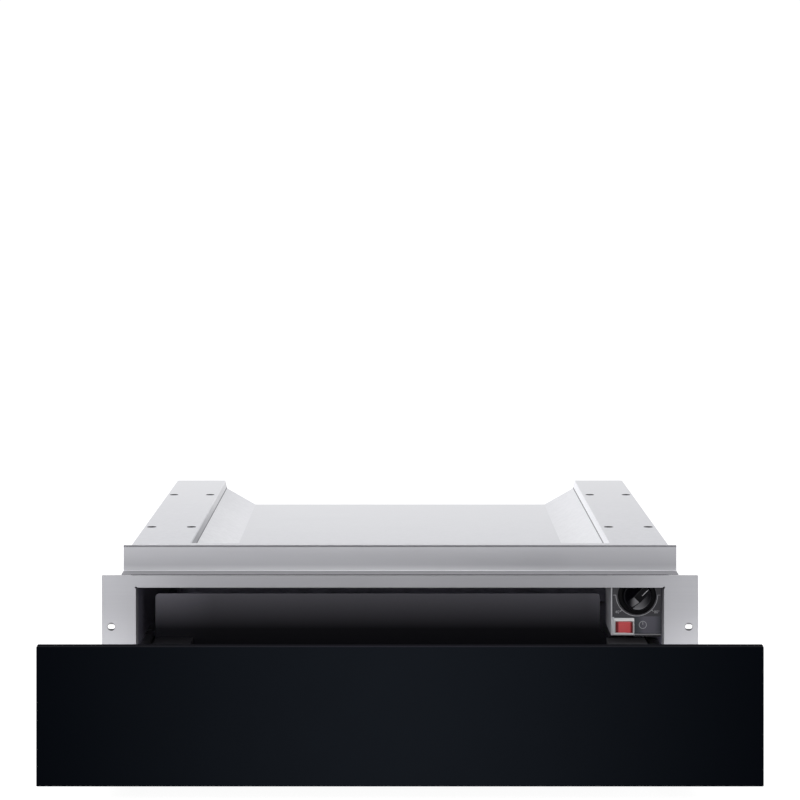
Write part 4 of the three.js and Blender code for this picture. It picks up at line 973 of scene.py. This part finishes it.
@dataclass
class Drawer:
    """The pulled-out drawer with its well, mat and glass front.

    Each rib of the mat is sunk into it by a part of its radius.
    """

    body: str = "drawer"
    rib_pitch: float = 8.0 * MM
    rib_radius: float = 1.1 * MM
    rib_sunk: float = 0.3
    mat_margin: float = 3.5 * MM
    mat_corner: float = 3.0 * MM
    glass_round: float = 0.8 * MM
    buffer_rise: float = 1.4 * MM
    buffer_dome: tuple[Pair, ...] = (
        (0.5 * MM, 0.8 * MM), (1.2 * MM, 0.5 * MM), (1.6 * MM, 0.1 * MM))
    wall_screw_x: tuple[float, ...] = (-0.165, -0.055, 0.055, 0.165)
    wall_screw_z: Pair = (0.040, 0.084)
    strike_half: float = 7.5 * MM

    def tray(self) -> None:
        """Finishes the pressed tray and its walls."""
        Bench.sheet("drawer_tray", self.body, DRAWER_PAINT_LIT_RIGHT, "drawer_paint", 0.45 * MM)
        Bench.sheet("drawer_rear_wall", self.body, WALL_LIGHT_AND_SHADE, "drawer_paint")
        for node in ("drawer_front_wall", "gusset_left", "gusset_right"):
            Bench.sheet(node, self.body, DRAWER_PAINT_LIT_RIGHT, "drawer_paint")

    def mat(self) -> None:
        """Models the rubber mat: a sheet with round ribs from side to side."""
        low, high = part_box("drawer_mat")
        crown = high.z - self.rib_radius * (1 - self.rib_sunk)
        sheet = Bench.block("drawer_mat_ribbed", low, (high.x, high.y, crown))
        Bench.round_edges(sheet, self.mat_corner, 4, lambda a, b: abs(a.z - b.z) > CLOSE)
        edge = self.mat_margin
        rib = Bench.turned("rib", self.rib_radius, (low.x + edge, 0, 0), (high.x - edge, 0, 0), 10)
        count = int((high.y - low.y - 2 * edge) / self.rib_pitch) + 1
        start = (low.y + high.y - (count - 1) * self.rib_pitch) / 2
        z = crown - self.rib_radius * self.rib_sunk
        spots = [Matrix.Translation((0, start + row * self.rib_pitch, z)) for row in range(count)]
        Bench.join(sheet, Bench.copies(rib, "ribs", spots))
        Bench.dress(Bench.soften(sheet), self.body, RUBBER, "rubber", "drawer_mat")

    def panel(self) -> None:
        """Models the glass front with ground edges, and finishes its backing tray."""
        glass = Bench.block("panel_glass_polished", *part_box("panel_glass"))
        Bench.round_edges(glass, self.glass_round, 4, lambda a, b: abs(a.y - b.y) > 1 * MM)
        Bench.soften(glass, 0.3 * MM, 3, 40.0)
        Bench.dress(glass, self.body, BLACK_GLASS_REFLECTION, "black_glass", "panel_glass")
        Bench.tint(glass, GROUND_EDGE, lambda centre, normal: normal.y > -FACING)
        Bench.sheet("panel_backing", self.body, BLACK_STEEL, "black_steel")

    def buffers(self) -> None:
        """Models the four rubber buffers behind the panel."""
        for side in Side:
            for level in ("lower", "upper"):
                node = f"buffer_{level}_{side.word}"
                low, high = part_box(node)
                middle = (low + high) / 2
                piece = Bench.turned(
                    f"{node}_domed", (high.x - low.x) / 2, (middle.x, low.y, middle.z),
                    (middle.x, high.y - self.buffer_rise, middle.z), 32, self.buffer_dome)
                Bench.dress(Bench.soften(piece), self.body, RUBBER, "rubber", node)

    def screws(self) -> None:
        """Puts screws in the front wall and the latch strike, and finishes the strike."""
        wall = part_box("drawer_front_wall")[1].y
        spots = [((x, wall, z), BACKWARDS)
                 for x in self.wall_screw_x for z in self.wall_screw_z]
        PanHeadScrew().place("front_wall_screws", spots, self.body)
        low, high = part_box("latch_strike")
        middle = (low + high) / 2
        spots = [((middle.x + side.value * self.strike_half, high.y, middle.z), BACKWARDS)
                 for side in Side]
        small = PanHeadScrew(radius=2.0 * MM, rise=0.3 * MM, slot_width=0.6 * MM,
                             slot_reach=1.1 * MM)
        small.place("strike_screws", spots, self.body)
        Bench.sheet("latch_strike", self.body, BRIGHT_STEEL, "bright_steel", 0.2 * MM)

    def build(self) -> None:
        """Builds the drawer."""
        self.tray()
        self.mat()
        self.panel()
        self.buffers()
        self.screws()


@dataclass
class Slides:
    """The two telescopic slides, each of three members and two cages of balls."""

    hole_radius: float = 3.0 * MM
    hole_shares: tuple[float, ...] = (0.06, 0.3, 0.62, 0.94)

    def member(self, node: str, body: str) -> None:
        """Finishes one member, with round holes punched through its web.

        Args:
            node: The member's CAD node.
            body: The body it rides on.
        """
        low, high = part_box(node)
        start, end, middle = low.x - 1 * MM, high.x + 1 * MM, (low.z + high.z) / 2
        piece = Bench.cast(node)
        for share in self.hole_shares:
            y = low.y + (high.y - low.y) * share
            Bench.carve(piece, Bench.turned("punch", self.hole_radius, (start, y, middle),
                                            (end, y, middle), 24))
        Bench.dress(Bench.soften(piece, 0.2 * MM), body, BRIGHT_STEEL, "bright_steel", node)

    def build(self) -> None:
        """Builds both slides."""
        for side in Side:
            word = side.word
            for part, body in (("outer", "casing"), ("middle", f"slide_{word}"),
                               ("inner", "drawer")):
                self.member(f"slide_{part}_{word}", body)
            Bench.bare(BRIGHT_STEEL, f"ball_cage_outer_{word}", f"ball_cage_inner_{word}")


@dataclass(frozen=True)
class FasciaPlate:
    """A thin plate on the fascia: its name, finish, slot, and its reach along X and Z."""

    name: str
    finish: Finish
    slot: str
    x: Pair
    z: Pair


@dataclass
class Controls:
    """The control box with its fascia, thermostat knob, dial and rocker switch.

    The grip and its pointer line are made along X, facing -Y, and then turned to their place.
    """

    body: str = "casing"
    fascia_y: float = 0.021
    plates: tuple[FasciaPlate, ...] = (
        # A thin plate that carries painted light on the fascia.
        FasciaPlate("fascia_painted_light", FASCIA_LIGHT_PATCH, "fascia_plastic",
                    (0.23455, 0.2612), (0.0512, 0.0682)),
        FasciaPlate("switch_surround", DULL_PLASTIC, "box_paint",
                    (0.21265, 0.2147), (0.0505, 0.0675)),
        FasciaPlate("fascia_lip", LIP_DARK_STRIP, "box_paint", (0.2350, 0.2612), (0.0482, 0.0500)))
    knob_axis: Triple = (0.2372, 0.0205, 0.0895)
    knob_turn: float = -45.0
    skirt_radius: float = 19.0 * MM
    skirt_depth: float = 1.6 * MM
    skirt_steps: tuple[Pair, ...] = (
        (0.3 * MM, 0.5 * MM), (0.8 * MM, 0.3 * MM), (2.9 * MM, 0.0), (0.3 * MM, 1.0 * MM),
        (0.2 * MM, 3.6 * MM), (0.5 * MM, 0.9 * MM), (0.9 * MM, 0.2 * MM), (1.4 * MM, -0.9 * MM),
        (2.6 * MM, -2.2 * MM), (3.4 * MM, -1.7 * MM), (3.8 * MM, -0.4 * MM))
    dish_radius: float = 12.6 * MM
    dish_shade: float = -7.4 * MM
    grip_half: float = 13.2 * MM
    grip_side: float = 4.6 * MM
    grip_front: float = 17.0 * MM
    grip_back: float = 1.8 * MM
    slant_from: float = 2.4 * MM
    slant_run: Pair = (7.6 * MM, 8.0 * MM)
    pointer_x: Pair = (4.0 * MM, 12.4 * MM)
    pointer_z: Pair = (-1.3 * MM, -0.85 * MM)
    arc_radius: float = 20.9 * MM
    tick: float = 2.6 * MM
    tick_angles: tuple[float, ...] = (180.0, 225.0, 315.0, 360.0)
    figures: tuple[tuple[str, str, float], ...] = (
        ("dial_low", "40°", 0.2156), ("dial_high", "80°", 0.2545))
    figure_z: float = 0.0713
    figure_size: float = 4.0 * MM
    ring_place: Pair = (0.2432, 0.0597)
    ring_radius: float = 3.6 * MM
    line: float = 0.55 * MM
    print_t: float = 0.08 * MM

    def box(self) -> None:
        """Finishes the box and the fascia with its thin plates."""
        case = Bench.sheet("control_box", self.body, BOX_PAINT, "box_paint", 0.3 * MM)
        # The box's left side gets painted light.
        Bench.tint(case, BOX_SIDE_LIT, lambda centre, normal: normal.x < -0.9)
        fascia = Bench.soften(Bench.cast("control_fascia", whole=False), 0.2 * MM)
        Bench.dress(fascia, self.body, FASCIA, "fascia_plastic", "control_fascia")
        for plate in self.plates:
            piece = Bench.block(plate.name,
                                (plate.x[0], self.fascia_y - self.print_t, plate.z[0]),
                                (plate.x[1], self.fascia_y + 0.2 * MM, plate.z[1]))
            Bench.dress(Bench.soften(piece, 0.03 * MM), self.body, plate.finish, plate.slot)

    def stroke(self, name: str, centre: Vector, angle: float) -> Piece:
        """Adds one short printed stroke on the fascia.

        Args:
            name: The stroke's name.
            centre: Its middle.
            angle: Its turn from level, in degrees anticlockwise as seen from the front.

        Returns:
            The stroke.
        """
        half = Vector((self.tick / 2, self.print_t, self.line / 2))
        made = Bench.block(name, -half, half)
        turn = Matrix.Rotation(math.radians(-angle), 4, "Y")
        made.data.transform(Matrix.Translation(centre) @ turn)
        return made

    def arc(self, name: str, centre: Vector, radius: float, start: float, sweep: float,
            steps: int) -> Piece:
        """Adds a printed arc: a flat line spun about an axis along Y.

        Args:
            name: The arc's name.
            centre: The arc's centre.
            radius: Its middle radius.
            start: Where it starts, in degrees anticlockwise from +X as seen from the front.
            sweep: How far it runs, in degrees.
            steps: How many faces it has along it.

        Returns:
            The arc.
        """
        bpy.ops.object.select_all(action="DESELECT")
        bpy.ops.mesh.primitive_plane_add(size=self.line, location=(radius, 0, 0))
        made = Bench.settle(name)
        made.data.transform(Matrix.Rotation(math.radians(-start), 4, "Y")
                            @ Matrix.Scale(0.3, 4, (0, 1, 0)))
        with Bench.editing():
            if sweep == 360.0:
                bpy.ops.mesh.delete(type="ONLY_FACE")
                bpy.ops.mesh.select_all(action="SELECT")
            bpy.ops.mesh.spin(steps=steps, angle=math.radians(sweep), center=(0, 0, 0),
                              axis=(0, 1, 0))
            bpy.ops.mesh.select_all(action="SELECT")
            bpy.ops.mesh.remove_doubles(threshold=MERGED)
            bpy.ops.mesh.normals_make_consistent(inside=False)
        made.data.transform(Matrix.Translation(centre))
        return made

    def number(self, name: str, words: str, place: Triple) -> Piece:
        """Adds small printed figures on the fascia.

        Args:
            name: The piece's name.
            words: The figures.
            place: Their lower left corner.

        Returns:
            The figures, as a mesh.
        """
        bpy.ops.object.select_all(action="DESELECT")
        bpy.ops.object.text_add(location=place, rotation=(math.pi / 2, 0, 0))
        text = bpy.context.view_layer.objects.active.data
        text.body = words
        text.size = self.figure_size
        text.extrude = self.print_t
        text.resolution_u = 3
        bpy.ops.object.convert(target="MESH")
        return Bench.settle(name)

    def dial(self) -> None:
        """Prints the dial: an arc, its ticks, two figures and the switch's ring mark."""
        x, _, z = self.knob_axis
        centre = Vector((x, self.fascia_y, z))
        marks = [self.arc("dial_arc", centre, self.arc_radius, 180.0, 180.0, 48)]
        for angle in self.tick_angles:
            way = Vector((math.cos(math.radians(angle)), 0, math.sin(math.radians(angle))))
            middle = centre + way * (self.arc_radius + 1.3 * MM)
            marks.append(self.stroke("dial_tick", middle, angle))
        for name, words, left in self.figures:
            marks.append(self.number(name, words, (left, self.fascia_y, self.figure_z)))
        ring = Vector((self.ring_place[0], self.fascia_y - self.print_t, self.ring_place[1]))
        marks.append(self.arc("switch_ring", ring, self.ring_radius, 0.0, 360.0, 36))
        marks.append(self.stroke("switch_stroke", ring + Vector((0, 0, 1.5 * MM)), 90.0))
        Bench.join(*marks).name = "dial_print"
        bpy.ops.object.shade_flat()
        Bench.dress(marks[0], self.body, MARK_PAINT, "fascia_plastic")

    def grip(self, turn: Matrix) -> Piece:
        """Models the grip: a bar whose front is cut away in a slant at its blunt end.

        Args:
            turn: Its turn and move to its place.

        Returns:
            The grip.
        """
        made = Bench.block("grip", (-self.grip_half, -self.grip_front, -self.grip_side),
                           (self.grip_half, -self.grip_back, self.grip_side))
        run, rise = self.slant_run
        Bench.take(made)
        with Bench.editing():
            bpy.ops.mesh.bisect(plane_co=(-self.slant_from, -self.grip_front, 0),
                                plane_no=Vector((-rise, -run, 0)).normalized(),
                                use_fill=True, clear_outer=True)
        Bench.soften(made, 0.9 * MM, 3, 25.0)
        made.data.transform(turn)
        return made

    def knob(self) -> None:
        """Models the knob: a skirt, a dished body and a tapered grip with a pointer line."""
        x, y, z = self.knob_axis
        turn = Matrix.Translation((x, y, z)) @ Matrix.Rotation(
            math.radians(self.knob_turn), 4, "Y")
        knob = Bench.turned("knob_dished", self.skirt_radius, (x, y, z),
                            (x, y - self.skirt_depth, z), 72, self.skirt_steps)
        Bench.soften(knob)
        Bench.join(knob, self.grip(turn))
        Bench.dress(knob, "knob", BLACK_PLASTIC, "black_plastic", "control_knob")
        skirt_back, body_front, grip_front = y - 3.0 * MM, y - 8.0 * MM, y - 16.0 * MM
        # The skirt and the grip's front get painted shade, the grip's slanted end and part of the
        # dish painted light.
        Bench.tint(knob, KNOB_SHADE_PLASTIC, lambda centre, normal: centre.y > skirt_back or (
            normal.y < -FACING and centre.y < grip_front))
        Bench.tint(knob, LIT_FACET, lambda centre, normal: -0.75 < normal.y < -0.62 and (
            abs(normal.x - normal.z) < 0.1 and centre.y < body_front))
        Bench.tint(knob, LIT_DISH, lambda centre, normal: (
            normal.y < -0.4 and centre.y > body_front
            and (centre.z - z) - (centre.x - x) < self.dish_shade
            and Vector((centre.x - x, centre.z - z)).length < self.dish_radius))
        front = -self.grip_front
        pointer = Bench.block(
            "pointer_line", (self.pointer_x[0], front - 0.05 * MM, self.pointer_z[0]),
            (self.pointer_x[1], front + 0.5 * MM, self.pointer_z[1]))
        Bench.soften(pointer, 0.04 * MM)
        pointer.data.transform(turn)
        Bench.dress(pointer, "knob", POINTER_PAINT, "black_plastic")
        Bench.bare(BRIGHT_STEEL, "knob_spindle")

    def switch(self) -> None:
        """Finishes the rocker's bezel and its red button, with painted shade at its ends and a
        faint glow of painted light.
        """
        bezel = Bench.soften(Bench.cast("rocker_housing"), 0.55 * MM, 3)
        Bench.dress(bezel, self.body, PALE_PLASTIC, "pale_plastic", "rocker_housing")
        button = Bench.soften(Bench.cast("rocker_button"), 0.5 * MM, 3, 8.0)
        Bench.dress(button, "rocker", RED_LENS_PAINTED_LIGHT_AND_SHADE, "red_lens", "rocker_button")

    def build(self) -> None:
        """Builds the controls, and finishes the thermostat and its sensor."""
        self.box()
        self.dial()
        self.knob()
        self.switch()
        Bench.bare(PHENOLIC, "thermostat_body")
        Bench.bare(COPPER, "thermostat_capillary", "thermostat_bulb")
        Bench.bare(BRIGHT_STEEL, "bulb_clip")


@dataclass
class Heating:
    """The fan and the heater behind the baffle."""

    def build(self) -> None:
        """Finishes the fan, the heater and the cut-out."""
        Bench.bare(BRIGHT_STEEL, "fan_rotor", "fan_shaft")
        Bench.bare(ZINC_PAINTED_LIGHT, "fan_housing", "heater_bracket_left", "heater_bracket_right")
        Bench.bare(BLACK_STEEL, "fan_motor")
        Bench.bare(HEATER_SHEATH, "heater_element")
        Bench.bare(PHENOLIC, "thermal_cutout")


@dataclass
class Services:
    """The push latch and the mains side."""

    body: str = "casing"

    def build(self) -> None:
        """Finishes the latch, the terminal block, the loom and the inlet bush."""
        Bench.bare(PALE_PLASTIC, "latch_housing", "latch_plunger", "terminal_block",
                   "loom_clip_front", "loom_clip_rear")
        Bench.bare(LOOM_SLEEVE, "wiring_loom")
        Bench.sheet("cable_inlet", self.body, BLACK_PLASTIC, "black_plastic", 0.4 * MM)


# ---- studio


@dataclass(frozen=True)
class Lamp:
    """A square soft lamp: where it hangs, the point it faces, its side and its watts."""

    name: str
    place: Triple
    aim: Triple
    size: float
    power: float

    def hang(self) -> None:
        """Adds the lamp to the scene."""
        light = bpy.data.lights.new(self.name, "AREA")
        light.size = self.size
        light.energy = self.power
        holder = bpy.data.objects.new(self.name, light)
        holder.location = self.place
        way = Vector(self.aim) - Vector(self.place)
        holder.rotation_euler = way.to_track_quat("-Z", "Y").to_euler()
        bpy.context.scene.collection.objects.link(holder)


@dataclass
class Studio:
    """A pale floor, soft lamps and the camera at the photograph's angle.

    The sky's light runs from its left to its right value, and more of it comes from behind.
    """

    eye: Triple = (0.0, -2.433, 0.5148)
    lens: float = 110.25
    sensor: float = 36.0
    shift_y: float = -0.2869
    far: float = 200.0
    floor_size: float = 80.0
    floor_z: float = -0.2 * MM
    floor_glow: float = 0.9
    sky_shown: float = 1.05
    sky_left: float = 0.95
    sky_right: float = 0.5
    sky_back: float = 0.17
    lamps: tuple[Lamp, ...] = (
        Lamp("overhead", (0.0, 0.8, 3.2), (0.0, 0.3, 0.0), 4.0, 18.0),
        Lamp("left", (-3.2, 0.2, 1.6), (0.0, 0.0, 0.1), 2.0, 14.0),
        Lamp("front", (-0.15, -2.45, 0.46), (0.0, 0.0, 0.08), 0.35, 23.0))

    def floor(self) -> None:
        """Adds the floor."""
        bpy.ops.object.select_all(action="DESELECT")
        bpy.ops.mesh.primitive_plane_add(size=self.floor_size, location=(0, 0, self.floor_z))
        ground = Bench.settle("studio_floor")
        made = bpy.data.materials.new("studio_floor")
        made.use_nodes = True
        feed(made.node_tree, made.node_tree.nodes["Principled BSDF"], {
            "Base Color": (0.3, 0.3, 0.3, 1.0), "Roughness": 0.9, "Specular IOR Level": 0.1,
            "Emission Color": (1.0, 1.0, 1.0, 1.0), "Emission Strength": self.floor_glow})
        ground.data.materials.append(made)

    def sky(self) -> None:
        """Adds the white surroundings, which light the drawer less than they show."""
        world = bpy.data.worlds.new("white_surroundings")
        bpy.context.scene.world = world
        world.use_nodes = True
        tree = world.node_tree
        shown = tree.nodes["Background"]
        feed(tree, shown, {"Color": (1.0, 1.0, 1.0, 1.0), "Strength": self.sky_shown})
        way = add(tree, "TexCoord", {}).outputs["Generated"]
        axes = add(tree, "SeparateXYZ", {0: way}).outputs
        fade = add(tree, "MapRange", {
            "Value": axes["X"], "From Min": -1.0, "To Min": self.sky_left,
            "To Max": self.sky_right}).outputs["Result"]
        behind = add(tree, "MapRange", {"Value": axes["Y"], "To Max": self.sky_back})
        both = add(tree, "Math", {0: fade, 1: behind.outputs["Result"]}, operation="ADD")
        light = add(tree, "Background", {
            "Color": (0.98, 0.985, 1.0, 1.0), "Strength": both.outputs[0]})
        rays = add(tree, "LightPath", {}).outputs["Is Camera Ray"]
        mix = add(tree, "MixShader", {0: rays, 1: light.outputs[0], 2: shown.outputs[0]})
        feed(tree, tree.nodes["World Output"], {0: mix.outputs[0]})

    def camera(self) -> None:
        """Adds the camera: level, straight on, with the frame shifted down."""
        data = bpy.data.cameras.new("camera")
        data.lens = self.lens
        data.sensor_width = self.sensor
        data.shift_y = self.shift_y
        data.clip_end = self.far
        holder = bpy.data.objects.new("camera", data)
        holder.location = self.eye
        holder.rotation_euler = (math.pi / 2, 0.0, 0.0)
        bpy.context.scene.collection.objects.link(holder)
        bpy.context.scene.camera = holder

    def build(self) -> None:
        """Sets up the studio."""
        bpy.context.scene.view_settings.view_transform = "Standard"
        self.floor()
        self.sky()
        for lamp in self.lamps:
            lamp.hang()
        self.camera()


def main() -> None:
    """Builds the studio and each sub-assembly."""
    logging.basicConfig(level=logging.INFO, format="%(name)s: %(message)s")
    Studio().build()
    for part in (Casing(), Drawer(), Slides(), Controls(), Heating(), Services()):
        LOG.info("building %s", type(part).__name__)
        part.build()


if __name__ == "__main__":
    main()
